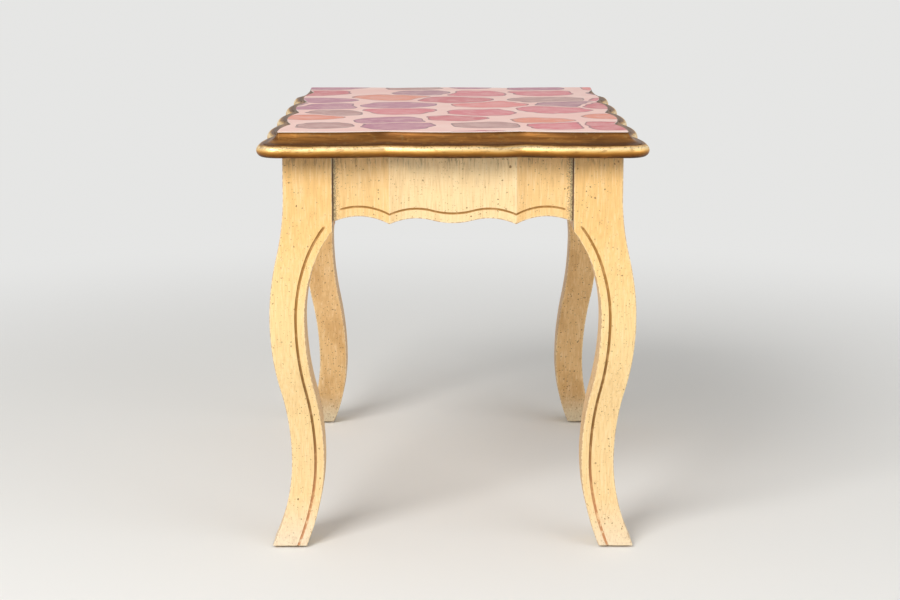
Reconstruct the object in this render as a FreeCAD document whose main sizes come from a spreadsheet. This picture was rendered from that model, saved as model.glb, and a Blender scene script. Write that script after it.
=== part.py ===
import FreeCAD, Part
import math
import os
import Sketcher

# Small French Provincial bench: a moulded, gilt-edged top with a printed face on four sawn
# cabriole legs, joined by scalloped aprons. Millimetres, +Z up, origin on the floor at the centre.
# Ends face -Y and +Y, long sides face -X and +X.

Vector = FreeCAD.Vector
Rotation = FreeCAD.Rotation
Placement = FreeCAD.Placement

doc = FreeCAD.newDocument("bench")

# Driving dimensions
SIZES = [
    ("table_height", 508.0, "floor to the printed face"),
    ("top_length", 630.0, "top along Y, over the nosing"),
    ("top_width", 464.0, "top along X, over the nosing"),
    ("board_thickness", 28.2, "top board without its printed sheet"),
    ("sheet_thickness", 0.8, "printed sheet"),
    ("sheet_margin", 0.6, "gilt edge left bare round the printed sheet"),
    ("corner_radius", 28.0, "corner of the top in plan"),
    ("end_straight", 44.0, "straight run beside a corner on an end"),
    ("side_straight", 11.0, "straight run beside a corner on a long side"),
    ("end_notch_depth", 9.0, "how far an end's edge dips between two lobes"),
    ("side_notch_depth", 9.0, "how far a long side's edge dips between two lobes"),
    ("notch_radius", 14.0, "hollow at the bottom of a dip"),
    ("lip_height", 1.5, "small upright edge round the flat face"),
    ("cove_width", 16.2, "hollow moulding, across"),
    ("cove_drop", 11.6, "hollow moulding, down"),
    ("cove_radius", 22.0, "hollow moulding's curve"),
    ("quirk_height", 0.8, "small step between hollow and nosing"),
    ("nosing_width", 8.5, "nosing, across its upper quarter"),
    ("nosing_rise", 6.9, "nosing, height of its upper quarter"),
    ("nosing_return", 5.5, "nosing, across its lower quarter"),
    ("overhang", 30.0, "nosing beyond the outer faces of the posts"),
    ("post_width", 58.6, "square post at the head of a leg"),
    ("bend_drop", 47.0, "underside of the top to where the outer edge leaves the post"),
    ("corner_drop", 90.0, "underside of the top to the post's inner corner"),
    ("knee_drop", 196.0, "underside of the top to the knee"),
    ("knee_swell", 16.8, "knee beyond the post"),
    ("knee_width", 41.9, "leg across the knee"),
    ("knee_inner_radius", 200.0, "inner edge just above the knee"),
    ("knee_inner_rise", 62.0, "height of that curve"),
    ("ankle_height", 104.0, "floor to the ankle"),
    ("ankle_draw", 5.5, "ankle inside the post's outer face"),
    ("ankle_width", 39.6, "leg across the ankle"),
    ("foot_swell", 17.6, "foot beyond the post"),
    ("foot_width", 41.8, "leg across the foot"),
    ("leg_groove_inset", 9.2, "leg's inner edge to its groove"),
    ("leg_groove_width", 3.0, "groove on a leg"),
    ("leg_groove_depth", 1.5, "groove on a leg"),
    ("apron_thickness", 20.0, "apron at its ends"),
    ("apron_setback", 3.0, "apron face behind the post's face"),
    ("ridge_setback", 2.0, "upright ridge behind the post's face"),
    ("apron_end_depth", 80.1, "underside of the top to the apron's edge at a post"),
    ("cusp_depth", 82.6, "underside of the top to a cusp"),
    ("scallop_length", 68.0, "post to cusp"),
    ("scallop_rise", 7.6, "arch of the scallop beside a post"),
    ("scallop_hollow", 4.0, "how far that stretch is hollowed in plan"),
    ("end_dip_half", 24.0, "half of the middle dip, end apron"),
    ("side_dip_half", 46.0, "half of the middle dip, side apron"),
    ("dip_top_depth", 78.4, "underside of the top to the shoulders of the middle dip"),
    ("dip_sag", 3.0, "middle dip below its shoulders"),
    ("end_bow_half", 25.0, "half of the middle bow in plan, end apron"),
    ("side_bow_half", 50.0, "half of the middle bow in plan, side apron"),
    ("bow_rise", 1.3, "middle bow in plan"),
    ("apron_groove_rise", 10.6, "apron's edge to its groove"),
    ("apron_groove_width", 2.3, "groove on an apron"),
    ("apron_groove_depth", 1.1, "groove on an apron"),
    ("apron_groove_stop", 8.5, "post to the end of the groove"),
    ("dowel_radius", 4.0, "beech dowel"),
    ("dowel_length", 38.0, "beech dowel"),
    ("dowel_chamfer", 0.8, "dowel's eased ends"),
    ("dowel_fit", 0.06, "dowel hole's play at the radius"),
    ("dowel_end_play", 1.0, "dowel hole's play at each end"),
    ("upper_dowel_drop", 20.0, "underside of the top to the upper dowel"),
    ("lower_dowel_drop", 58.0, "underside of the top to the lower dowel"),
    ("block_height", 25.0, "corner block"),
    ("block_reach", 70.0, "corner block along an apron, from the post"),
    ("screw_length", 30.0, "screw from a block into an apron"),
    ("top_screw_length", 38.0, "screw from a block into the top"),
    ("screw_radius", 2.0, "screw shank"),
    ("screw_head_radius", 4.0, "screw head"),
    ("screw_head_height", 2.4, "flat-bottomed head"),
    ("screw_tip", 3.0, "screw point"),
    ("screw_fit", 0.05, "screw hole's play"),
    ("screw_seat", 17.0, "back of the apron to the face of a screw's head"),
    ("screw_from_post", 41.4, "post to the screws into an apron"),
    ("top_screw_inset", 8.4, "post's inner corner to the screw into the top, each way"),
    ("counterbore_radius", 5.0, "access hole in the block's slanted face"),
    ("glide_radius", 11.0, "nail-on glide"),
    ("glide_height", 2.5, "glide below the foot"),
    ("glide_edge", 1.2, "glide's bevelled rim"),
    ("nail_radius", 1.2, "glide's nail"),
    ("nail_length", 14.0, "glide's nail"),
]

sheet = doc.addObject("Spreadsheet::Sheet", "Sizes")
for row, (alias, size, note) in enumerate(SIZES, start=1):
    sheet.set(f"A{row}", note)
    sheet.set(f"B{row}", str(size))
    sheet.setAlias(f"B{row}", alias)

# Worked dimensions, each from the driving ones and the worked ones above it
WORKED = [
    ("underside", "Sizes.table_height - Sizes.sheet_thickness - Sizes.board_thickness"),
    ("post_x", "Sizes.top_width / 2 - Sizes.overhang"),
    ("post_y", "Sizes.top_length / 2 - Sizes.overhang"),
    ("bend_z", "underside - Sizes.bend_drop"),
    ("corner_z", "underside - Sizes.corner_drop"),
    ("knee_z", "underside - Sizes.knee_drop"),
    ("foot_z", "Sizes.glide_height"),
    ("post_in", "-Sizes.post_width"),
    ("knee_out", "Sizes.knee_swell"),
    ("knee_in", "Sizes.knee_swell - Sizes.knee_width"),
    ("ankle_out", "-Sizes.ankle_draw"),
    ("ankle_in", "-Sizes.ankle_draw - Sizes.ankle_width"),
    ("foot_out", "Sizes.foot_swell"),
    ("foot_in", "Sizes.foot_swell - Sizes.foot_width"),
    # an S of two equal arcs, upright at both ends, has this radius: (rise^2 + run^2) / (4 * run)
    ("shin_rise", "knee_z - Sizes.ankle_height"),
    ("shin_z", "(knee_z + Sizes.ankle_height) / 2"),
    ("head_rise", "bend_z - knee_z"),
    ("head_z", "(bend_z + knee_z) / 2"),
    ("head_radius", "(head_rise ^ 2 + knee_out ^ 2) / (4 * knee_out)"),
    ("shin_out_run", "knee_out - ankle_out"),
    ("shin_out_radius", "(shin_rise ^ 2 + shin_out_run ^ 2) / (4 * shin_out_run)"),
    ("shin_in_run", "knee_in - ankle_in"),
    ("shin_in_radius", "(shin_rise ^ 2 + shin_in_run ^ 2) / (4 * shin_in_run)"),
    # a single arc, upright at the ankle, has this one: (rise^2 + run^2) / (2 * run)
    ("foot_rise", "Sizes.ankle_height - foot_z"),
    ("foot_out_run", "foot_out - ankle_out"),
    ("foot_out_radius", "(foot_rise ^ 2 + foot_out_run ^ 2) / (2 * foot_out_run)"),
    ("foot_in_run", "foot_in - ankle_in"),
    ("foot_in_radius", "(foot_rise ^ 2 + foot_in_run ^ 2) / (2 * foot_in_run)"),
    # inner edge above the knee: one arc to the hip, then a tighter one, tangent, to the post's corner
    ("knee_center_x", "knee_in - Sizes.knee_inner_radius"),
    ("hip_slope_x", "sqrt(Sizes.knee_inner_radius ^ 2 - Sizes.knee_inner_rise ^ 2)"
                    " / Sizes.knee_inner_radius"),
    ("hip_slope_z", "Sizes.knee_inner_rise / Sizes.knee_inner_radius"),
    ("hip_x", "knee_center_x + Sizes.knee_inner_radius * hip_slope_x"),
    ("hip_z", "knee_z + Sizes.knee_inner_rise"),
    ("haunch_run", "post_in - hip_x"),
    ("haunch_rise", "corner_z - hip_z"),
    ("haunch_reach", "-haunch_run * hip_slope_x - haunch_rise * hip_slope_z"),
    ("haunch_radius", "(haunch_run ^ 2 + haunch_rise ^ 2) / (2 * haunch_reach)"),
    ("haunch_center_x", "hip_x - haunch_radius * hip_slope_x"),
    ("haunch_center_z", "hip_z - haunch_radius * hip_slope_z"),
    # distances from the post's outer corner that blocks, dowels and screws share
    ("apron_back", "Sizes.apron_setback + Sizes.apron_thickness"),
    ("apron_middle", "Sizes.apron_setback + Sizes.apron_thickness / 2"),
    ("upper_dowel_z", "underside - Sizes.upper_dowel_drop"),
    ("lower_dowel_z", "underside - Sizes.lower_dowel_drop"),
    ("block_z", "underside - Sizes.block_height"),
    ("block_screw_z", "underside - Sizes.block_height / 2"),
    ("screw_head_in", "apron_back + Sizes.screw_seat"),
    ("block_end", "Sizes.post_width + Sizes.block_reach"),
    ("screw_along", "Sizes.post_width + Sizes.screw_from_post"),
    ("top_screw_in", "Sizes.post_width + Sizes.top_screw_inset"),
    ("foot_middle", "foot_out - Sizes.foot_width / 2"),
    ("cusp_z", "underside - Sizes.cusp_depth"),
    ("apron_end_z", "underside - Sizes.apron_end_depth"),
    ("shoulder_z", "underside - Sizes.dip_top_depth"),
    # arch beside a post: its radius, then its centre seen from the cusp
    ("arch_drop", "Sizes.cusp_depth - Sizes.apron_end_depth"),
    ("arch_chord", "sqrt(Sizes.scallop_length ^ 2 + arch_drop ^ 2)"),
    ("arch_radius", "(arch_chord ^ 2 / 4 + Sizes.scallop_rise ^ 2) / (2 * Sizes.scallop_rise)"),
    ("arch_fall", "(arch_radius - Sizes.scallop_rise) / arch_chord"),
    ("arch_center_x", "Sizes.scallop_length / 2 + arch_fall * arch_drop"),
    ("arch_center_z", "(cusp_z + apron_end_z) / 2 - arch_fall * Sizes.scallop_length"),
    ("stop_x", "Sizes.scallop_length - Sizes.apron_groove_stop"),
    ("stop_z", "arch_center_z + sqrt(arch_radius ^ 2 - (stop_x - arch_center_x) ^ 2)"),
    # hollow beside a post in plan
    ("hollow_step", "Sizes.apron_setback - Sizes.ridge_setback"),
    ("hollow_chord", "sqrt(Sizes.scallop_length ^ 2 + hollow_step ^ 2)"),
    ("hollow_radius", "(hollow_chord ^ 2 / 4 + Sizes.scallop_hollow ^ 2) / (2 * Sizes.scallop_hollow)"),
    ("bow_foot", "Sizes.apron_setback + Sizes.bow_rise"),
    # size of a lobe pair round the top: q is the lobe's radius and the dip's radius added
    ("end_lobe", "Sizes.top_width / 2 - Sizes.corner_radius - Sizes.end_straight"),
    ("side_lobe", "(Sizes.top_length / 2 - Sizes.corner_radius - Sizes.side_straight) / 2"),
    ("end_q", "(end_lobe ^ 2 / 4 + Sizes.end_notch_depth ^ 2) / (2 * Sizes.end_notch_depth)"),
    ("side_q", "(side_lobe ^ 2 / 4 + Sizes.side_notch_depth ^ 2) / (2 * Sizes.side_notch_depth)"),
    ("moulding_width", "Sizes.nosing_width + Sizes.cove_width"),
]
for kind, post in (("end", "post_x"), ("side", "post_y")):
    bow = f"Sizes.{kind}_bow_half"
    dip = f"Sizes.{kind}_dip_half"
    WORKED += [
        (f"{kind}_half", f"{post} - Sizes.post_width"),
        (f"{kind}_cusp", f"{kind}_half - Sizes.scallop_length"),
        # middle bow in plan, then the hollow that is tangent to it and ends at the ridge
        (f"{kind}_bow_radius", f"({bow} ^ 2 + Sizes.bow_rise ^ 2) / (2 * Sizes.bow_rise)"),
        (f"{kind}_flute_run", f"{kind}_cusp - {bow}"),
        (f"{kind}_flute_step", "Sizes.ridge_setback - bow_foot"),
        (f"{kind}_flute_reach", f"({bow} * {kind}_flute_run + (Sizes.bow_rise - {kind}_bow_radius)"
                                f" * {kind}_flute_step) / {kind}_bow_radius"),
        (f"{kind}_flute_radius", f"({kind}_flute_run ^ 2 + {kind}_flute_step ^ 2)"
                                 f" / (2 * {kind}_flute_reach)"),
        # middle dip of the lower edge, then the arch that is tangent to it and ends at the cusp
        (f"{kind}_dip_radius", f"({dip} ^ 2 + Sizes.dip_sag ^ 2) / (2 * Sizes.dip_sag)"),
        (f"{kind}_rise_run", f"{kind}_cusp - {dip}"),
        (f"{kind}_rise_step", "cusp_z - shoulder_z"),
        (f"{kind}_rise_reach", f"({dip} * {kind}_rise_run + (Sizes.dip_sag - {kind}_dip_radius)"
                               f" * {kind}_rise_step) / {kind}_dip_radius"),
        (f"{kind}_rise_radius", f"({kind}_rise_run ^ 2 + {kind}_rise_step ^ 2) / (2 * {kind}_rise_reach)"),
    ]

worked = doc.addObject("Spreadsheet::Sheet", "Worked")
for row, (alias, formula) in enumerate(WORKED, start=1):
    worked.set(f"A{row}", alias)
    worked.set(f"B{row}", "=" + formula)
    worked.setAlias(f"B{row}", alias)
doc.recompute()

LEFT = 1
RIGHT = -1
PAST = 5.0
UPRIGHT_XZ = Placement(Vector(), Rotation(Vector(1, 0, 0), 90))
UPRIGHT_YZ = Placement(Vector(), Rotation(Vector(1, 1, 1), 120))
LEVEL = Placement()


def S(name):
    return f"Sizes.{name}"


def W(name):
    return f"Worked.{name}"


def number(expression):
    return float(sheet.evalExpression(expression))


def bind(thing, prop, expression):
    thing.setExpression(prop, expression)


# Sketches

def arc_between(a, b, radius, turn):
    """The short arc from a to b, as a counter-clockwise one, with the ends that a and b become."""
    chord = b - a
    middle = (a + b) / 2
    side = Vector(-chord.y, chord.x, 0).normalize() * turn
    center = middle + side * math.sqrt(max(radius ** 2 - chord.Length ** 2 / 4, 0.0))
    first, last = (a, b) if turn == LEFT else (b, a)
    start = math.atan2(first.y - center.y, first.x - center.x)
    end = math.atan2(last.y - center.y, last.x - center.x)
    if end < start:
        end += 2 * math.pi
    arc = Part.ArcOfCircle(Part.Circle(center, Vector(0, 0, 1), radius), start, end)
    return arc, ((1, 2) if turn == LEFT else (2, 1))


def draw_outline(sketch, start, steps):
    """One closed outline. A step is (x, y) for a line, or (x, y, radius, turn) for an arc.

    The last step ends at start, and every x, y and radius is an expression on the sheets."""
    points = [start] + [step[:2] for step in steps[:-1]]
    count = len(steps)
    spots = [Vector(number(x), number(y), 0) for x, y in points]
    ends = []
    for index, step in enumerate(steps):
        a, b = spots[index], spots[(index + 1) % count]
        if len(step) == 2:
            sketch.addGeometry(Part.LineSegment(a, b), False)
            ends.append((1, 2))
        else:
            arc, order = arc_between(a, b, number(step[2]), step[3])
            sketch.addGeometry(arc, False)
            ends.append(order)
    for index in range(count):
        after = (index + 1) % count
        joint = Sketcher.Constraint("Coincident", index, ends[index][1], after, ends[after][0])
        sketch.addConstraint(joint)
    for index, (x, y) in enumerate(points):
        at = ends[index][0]
        for way, axis, expression, place in (("DistanceX", -2, x, spots[index].x),
                                             ("DistanceY", -1, y, spots[index].y)):
            if expression == "0":
                sketch.addConstraint(Sketcher.Constraint("PointOnObject", index, at, axis))
            else:
                rule = Sketcher.Constraint(way, -1, 1, index, at, place)
                bind(sketch, f"Constraints[{sketch.addConstraint(rule)}]", expression)
    for index, step in enumerate(steps):
        if len(step) == 4:
            rule = Sketcher.Constraint("Radius", index, number(step[2]))
            bind(sketch, f"Constraints[{sketch.addConstraint(rule)}]", step[2])


def free_sketch(name, plane, start, steps):
    sketch = doc.addObject("Sketcher::SketchObject", name)
    sketch.Placement = plane
    draw_outline(sketch, start, steps)
    return sketch


def body_sketch(body, name, role, start, steps, height=None):
    """A sketch on one of the body's own planes, raised by height if that is given."""
    sketch = body.newObject("Sketcher::SketchObject", name)
    plane = next(f for f in body.Origin.OriginFeatures if getattr(f, "Role", "") == role)
    sketch.AttachmentSupport = [(plane, "")]
    sketch.MapMode = "FlatFace"
    if height is not None:
        bind(sketch, "AttachmentOffset.Base.z", height)
    draw_outline(sketch, start, steps)
    return sketch


# Solids that several sub-parts use

def prism(name, sketch, forward, backward="0"):
    solid = doc.addObject("Part::Extrusion", name)
    solid.Base = sketch
    solid.DirMode = "Normal"
    solid.Solid = True
    bind(solid, "LengthFwd", forward)
    bind(solid, "LengthRev", backward)
    return solid


def boolean(kind, name, base, tool):
    result = doc.addObject(kind, name)
    result.Base = base
    result.Tool = tool
    return result


def group(name, pieces):
    result = doc.addObject("Part::MultiFuse", name)
    result.Shapes = pieces
    return result


def put(thing, x="0", y="0", z="0", rotation=None):
    """Place a thing by three expressions and a fixed turn."""
    if rotation is not None:
        thing.Placement = Placement(Vector(), rotation)
    for letter, expression in (("x", x), ("y", y), ("z", z)):
        if expression != "0":
            bind(thing, f"Placement.Base.{letter}", expression)
    return thing


def turned(name, start, steps):
    """A body of revolution about its own Z axis, from half of its section."""
    body = doc.addObject("PartDesign::Body", name)
    section = body_sketch(body, name + "_section", "XZ_Plane", start, steps)
    turn = body.newObject("PartDesign::Revolution", name + "_turn")
    turn.Profile = section
    turn.ReferenceAxis = (section, ["V_Axis"])
    turn.Angle = 360.0
    return body


def cylinder(name, radius, length):
    solid = doc.addObject("Part::Cylinder", name)
    bind(solid, "Radius", radius)
    bind(solid, "Height", length)
    return solid


ALONG_X = Rotation(Vector(0, 1, 0), 90)
ALONG_Y = Rotation(Vector(1, 0, 0), -90)
AGAINST_Y = Rotation(Vector(1, 0, 0), 90)
BENCH_CORNERS = [
    ("rear_right", 1, 1, 0.0),
    ("rear_left", -1, 1, 90.0),
    ("front_left", -1, -1, 180.0),
    ("front_right", 1, -1, 270.0),
]
SIGN = {1: "", -1: "-"}


def at_corner(thing, right, rear, angle):
    """Turn a thing made about a post's outer corner to that corner of the bench."""
    thing.Placement = Placement(Vector(), Rotation(Vector(0, 0, 1), angle))
    bind(thing, "Placement.Base.x", SIGN[right] + W("post_x"))
    bind(thing, "Placement.Base.y", SIGN[rear] + W("post_y"))
    return thing


# Screws: a pan head, a plain shank and a point, head down and running up

def screw(name, length, play="0"):
    head = f"{S('screw_head_radius')} + {play}"
    shank = f"{S('screw_radius')} + {play}"
    neck = S("screw_head_height")
    taper = f"{length} - {S('screw_tip')} + {play}"
    return turned(name, ("0", "0"), [
        (head, "0"),
        (head, neck),
        (shank, neck),
        (shank, taper),
        ("0", f"{length} + {play}"),
        ("0", "0"),
    ])


# Leg, made about the post's outer corner: outwards is +x and +y, the bench lies towards -x and -y

def leg_profile(name, plane, sink="0"):
    """The sawn outline of a leg. A sink draws it back from its outer edge by that much."""
    def x(place):
        return place if sink == "0" else f"{place} - {sink}"
    return free_sketch(name, plane, (x("0"), W("underside")), [
        (x(W("post_in")), W("underside")),
        (x(W("post_in")), W("corner_z")),
        (x(W("hip_x")), W("hip_z"), W("haunch_radius"), RIGHT),
        (x(W("knee_in")), W("knee_z"), S("knee_inner_radius"), RIGHT),
        (x(f"({W('knee_in')} + {W('ankle_in')}) / 2"), W("shin_z"), W("shin_in_radius"), RIGHT),
        (x(W("ankle_in")), S("ankle_height"), W("shin_in_radius"), LEFT),
        (x(W("foot_in")), W("foot_z"), W("foot_in_radius"), LEFT),
        (x(W("foot_out")), W("foot_z")),
        (x(W("ankle_out")), S("ankle_height"), W("foot_out_radius"), RIGHT),
        (x(f"({W('knee_out')} + {W('ankle_out')}) / 2"), W("shin_z"), W("shin_out_radius"), RIGHT),
        (x(W("knee_out")), W("knee_z"), W("shin_out_radius"), LEFT),
        (x(f"{W('knee_out')} / 2"), W("head_z"), W("head_radius"), LEFT),
        (x("0"), W("bend_z"), W("head_radius"), RIGHT),
        (x("0"), W("underside")),
    ])


def leg_strip(name, plane):
    """The band that the groove fills, seen square on: it keeps its distance from the inner edge."""
    near = S("leg_groove_inset")
    far = f"({S('leg_groove_inset')} + {S('leg_groove_width')})"
    middle = f"({W('knee_in')} + {W('ankle_in')}) / 2"
    corner_x = f"({W('post_in')} - {W('haunch_center_x')}) / {W('haunch_radius')}"
    corner_z = f"({W('corner_z')} - {W('haunch_center_z')}) / {W('haunch_radius')}"
    below = f"{W('foot_z')} - {PAST}"

    def edge(gap):
        return [
            (f"{W('post_in')} + {gap} * {corner_x}", f"{W('corner_z')} + {gap} * {corner_z}"),
            (f"{W('hip_x')} + {gap} * {W('hip_slope_x')}", f"{W('hip_z')} + {gap} * {W('hip_slope_z')}"),
            (f"{W('knee_in')} + {gap}", W("knee_z")),
            (f"{middle} + {gap}", W("shin_z")),
            (f"{W('ankle_in')} + {gap}", S("ankle_height")),
            (f"{W('foot_in')} + {gap}", W("foot_z")),
            (f"{W('foot_in')} + {gap}", below),
        ]

    def radius(base, gap):
        return f"{base} + {gap}"

    top, hip, knee, shin, ankle, foot, end = edge(near)
    far_top, far_hip, far_knee, far_shin, far_ankle, far_foot, far_end = edge(far)
    return free_sketch(name, plane, top, [
        (*hip, radius(W("haunch_radius"), near), RIGHT),
        (*knee, radius(S("knee_inner_radius"), near), RIGHT),
        (*shin, W("shin_in_radius"), RIGHT),
        (*ankle, W("shin_in_radius"), LEFT),
        (*foot, W("foot_in_radius"), LEFT),
        end,
        far_end,
        far_foot,
        (*far_ankle, W("foot_in_radius"), RIGHT),
        (*far_shin, W("shin_in_radius"), RIGHT),
        (*far_knee, W("shin_in_radius"), LEFT),
        (*far_hip, radius(S("knee_inner_radius"), far), LEFT),
        (*far_top, radius(W("haunch_radius"), far), LEFT),
        top,
    ])


def leg_form():
    """Sawn to one outline from two sides, with a groove worked into both outward faces."""
    reach = f"{S('post_width')} + {S('knee_swell')} + {S('foot_swell')}"
    blanks = {}
    for face, plane in (("end", UPRIGHT_XZ), ("side", UPRIGHT_YZ)):
        outline = leg_profile(f"leg_{face}_outline", plane)
        core = leg_profile(f"leg_{face}_core_outline", plane, S("leg_groove_depth"))
        strip = leg_strip(f"leg_{face}_strip_outline", plane)
        blanks[face] = (
            prism(f"leg_{face}_blank", outline, reach, reach),
            prism(f"leg_{face}_core", core, reach, reach),
            prism(f"leg_{face}_strip", strip, reach, reach),
        )
    sawn = boolean("Part::Common", "leg_sawn", blanks["end"][0], blanks["side"][0])
    end_groove = boolean("Part::Cut", "leg_end_groove", blanks["end"][2], blanks["side"][1])
    side_groove = boolean("Part::Cut", "leg_side_groove", blanks["side"][2], blanks["end"][1])
    once = boolean("Part::Cut", "leg_grooved_once", sawn, end_groove)
    return boolean("Part::Cut", "leg_form", once, side_groove)


def leg_bores():
    """Two dowel holes in each inner face, and the glide's nail hole."""
    hole = f"{S('dowel_length')} / 2 + {S('dowel_end_play')}"
    bores = []
    for level in ("upper", "lower"):
        for face, rotation in (("end", ALONG_X), ("side", ALONG_Y)):
            bore = cylinder(f"leg_{level}_{face}_bore", f"{S('dowel_radius')} + {S('dowel_fit')}",
                            f"{hole} + {PAST}")
            inner = f"{W('post_in')} - {PAST}"
            middle = "-" + W("apron_middle")
            x, y = (inner, middle) if face == "end" else (middle, inner)
            bores.append(put(bore, x, y, W(f"{level}_dowel_z"), rotation))
    nail = cylinder("leg_nail_bore", f"{S('nail_radius')} + {S('screw_fit')}",
                    f"{S('nail_length')} + {S('dowel_end_play')} + {PAST}")
    bores.append(put(nail, W("foot_middle"), W("foot_middle"), f"{W('foot_z')} - {PAST}"))
    return group("leg_bores", bores)


# Apron, made about the middle of its length: its face looks to -y and the posts' faces are at y = 0

def apron_plan(kind, name, sink="0"):
    """Section of an apron: two hollows beside the posts, two ridges, and a bow between two flutes."""
    def y(place):
        return f"{place} + {sink}"
    half, cusp, bow = W(f"{kind}_half"), W(f"{kind}_cusp"), S(f"{kind}_bow_half")
    end_y, ridge_y, bow_y = y(S("apron_setback")), y(S("ridge_setback")), y(W("bow_foot"))
    hollow, flute = W("hollow_radius"), W(f"{kind}_flute_radius")
    return free_sketch(name, LEVEL, ("-" + half, end_y), [
        ("-" + cusp, ridge_y, hollow, RIGHT),
        ("-" + bow, bow_y, flute, RIGHT),
        (bow, bow_y, W(f"{kind}_bow_radius"), LEFT),
        (cusp, ridge_y, flute, RIGHT),
        (half, end_y, hollow, RIGHT),
        (half, y(W("apron_back"))),
        ("-" + half, y(W("apron_back"))),
        ("-" + half, end_y),
    ])


def scallops(kind, rise, stop):
    """The lower edge from left to right, raised by rise. It stops short of the posts if stop is set."""
    def z(place):
        return f"{place} + {rise}"
    cusp, dip = W(f"{kind}_cusp"), S(f"{kind}_dip_half")
    if stop:
        end_x, end_z = f"({cusp} + {W('stop_x')})", z(W("stop_z"))
    else:
        end_x, end_z = W(f"{kind}_half"), z(W("apron_end_z"))
    arch, slope = W("arch_radius"), W(f"{kind}_rise_radius")
    return ("-" + end_x, end_z), [
        ("-" + cusp, z(W("cusp_z")), arch, RIGHT),
        ("-" + dip, z(W("shoulder_z")), slope, RIGHT),
        (dip, z(W("shoulder_z")), W(f"{kind}_dip_radius"), LEFT),
        (cusp, z(W("cusp_z")), slope, RIGHT),
        (end_x, end_z, arch, RIGHT),
    ]


def apron_face(kind, name):
    start, edge = scallops(kind, "0", False)
    half = W(f"{kind}_half")
    return free_sketch(name, UPRIGHT_XZ, start, edge + [
        (half, W("underside")),
        ("-" + half, W("underside")),
        start,
    ])


def apron_strip(kind, name):
    """The band of the apron's groove: the lower edge raised twice, joined by short ends."""
    low_start, low = scallops(kind, S("apron_groove_rise"), True)
    high_start, high = scallops(kind, f"{S('apron_groove_rise')} + {S('apron_groove_width')}", True)
    stations = [high_start] + [step[:2] for step in high]
    back = [stations[-1]]
    for index in range(len(high) - 1, -1, -1):
        back.append((*stations[index], high[index][2], -high[index][3]))
    return free_sketch(name, UPRIGHT_XZ, low_start, low + back + [low_start])


def apron_form(kind):
    """Serpentine in plan and scalloped below, with a groove that follows the scallops."""
    through = f"{W('apron_back')} + {S('apron_groove_depth')} + {PAST}"
    groove_floor = f"{S('apron_setback')} + {S('scallop_hollow')} + {S('apron_groove_depth')}"
    plan = prism(f"{kind}_apron_plan", apron_plan(kind, f"{kind}_apron_plan_outline"), W("underside"))
    core_outline = apron_plan(kind, f"{kind}_apron_core_outline", S("apron_groove_depth"))
    core = prism(f"{kind}_apron_core", core_outline, W("underside"))
    face = prism(f"{kind}_apron_face", apron_face(kind, f"{kind}_apron_face_outline"), through, through)
    strip_outline = apron_strip(kind, f"{kind}_apron_strip_outline")
    strip = prism(f"{kind}_apron_strip", strip_outline, through, groove_floor)
    shaped = boolean("Part::Common", f"{kind}_apron_shaped", plan, face)
    groove = boolean("Part::Cut", f"{kind}_apron_groove", strip, core)
    return boolean("Part::Cut", f"{kind}_apron_form", shaped, groove)


def apron_bores(kind):
    """Dowel holes in both ends, and the holes of the blocks' screws in the back."""
    hole = f"({S('dowel_length')} / 2 + {S('dowel_end_play')})"
    bores = []
    for side, sign in (("left", -1), ("right", 1)):
        for level in ("upper", "lower"):
            bore = cylinder(f"{kind}_apron_{side}_{level}_bore", f"{S('dowel_radius')} + {S('dowel_fit')}",
                            f"{hole} + {PAST}")
            start = W(f"{kind}_half") + (f" - {hole}" if sign == 1 else f" + {PAST}")
            x = start if sign == 1 else f"-({start})"
            bores.append(put(bore, x, W("apron_middle"), W(f"{level}_dowel_z"), ALONG_X))
        bore = screw(f"{kind}_apron_{side}_screw_bore", S("screw_length"), S("screw_fit"))
        x = f"{SIGN[sign]}({W(f'{kind}_half')} - {S('screw_from_post')})"
        bores.append(put(bore, x, W("screw_head_in"), W("block_screw_z"), AGAINST_Y))
    return group(f"{kind}_apron_bores", bores)


def apron_dowels(kind):
    """Two dowels at each end, half in the apron and half in the post."""
    dowels = []
    for side, sign in (("left", -1), ("right", 1)):
        for level in ("upper", "lower"):
            rod = cylinder(f"{kind}_{side}_{level}_rod", S("dowel_radius"), S("dowel_length"))
            eased = doc.addObject("Part::Chamfer", f"{kind}_{side}_{level}_dowel")
            eased.Base = rod
            ease = number(S("dowel_chamfer"))
            eased.Edges = [(1, ease, ease), (3, ease, ease)]
            x = f"{SIGN[sign]}{W(f'{kind}_half')} - {S('dowel_length')} / 2"
            dowels.append(put(eased, x, W("apron_middle"), W(f"{level}_dowel_z"), ALONG_X))
    return dowels


APRONS = [
    ("front_apron", "end", 0, -1, 0.0),
    ("right_apron", "side", 1, 0, 90.0),
    ("rear_apron", "end", 0, 1, 180.0),
    ("left_apron", "side", -1, 0, 270.0),
]


def at_side(thing, right, rear, angle):
    """Turn a thing made about the middle of an apron to that side of the bench."""
    thing.Placement = Placement(Vector(), Rotation(Vector(0, 0, 1), angle))
    if right:
        bind(thing, "Placement.Base.x", SIGN[right] + W("post_x"))
    if rear:
        bind(thing, "Placement.Base.y", SIGN[rear] + W("post_y"))
    return thing


# Corner block, made about the post's outer corner like the leg

def block_form():
    """A level plate that wraps the post's inner corner and bears on both aprons."""
    back, inner, end = "-" + W("apron_back"), W("post_in"), "-" + W("block_end")
    body = doc.addObject("PartDesign::Body", "block_blank")
    outline = body_sketch(body, "block_outline", "XY_Plane", (end, back), [
        (back, end),
        (back, inner),
        (inner, inner),
        (inner, back),
        (end, back),
    ], W("block_z"))
    pad = body.newObject("PartDesign::Pad", "block_pad")
    pad.Profile = outline
    bind(pad, "Length", S("block_height"))
    return body


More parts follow.
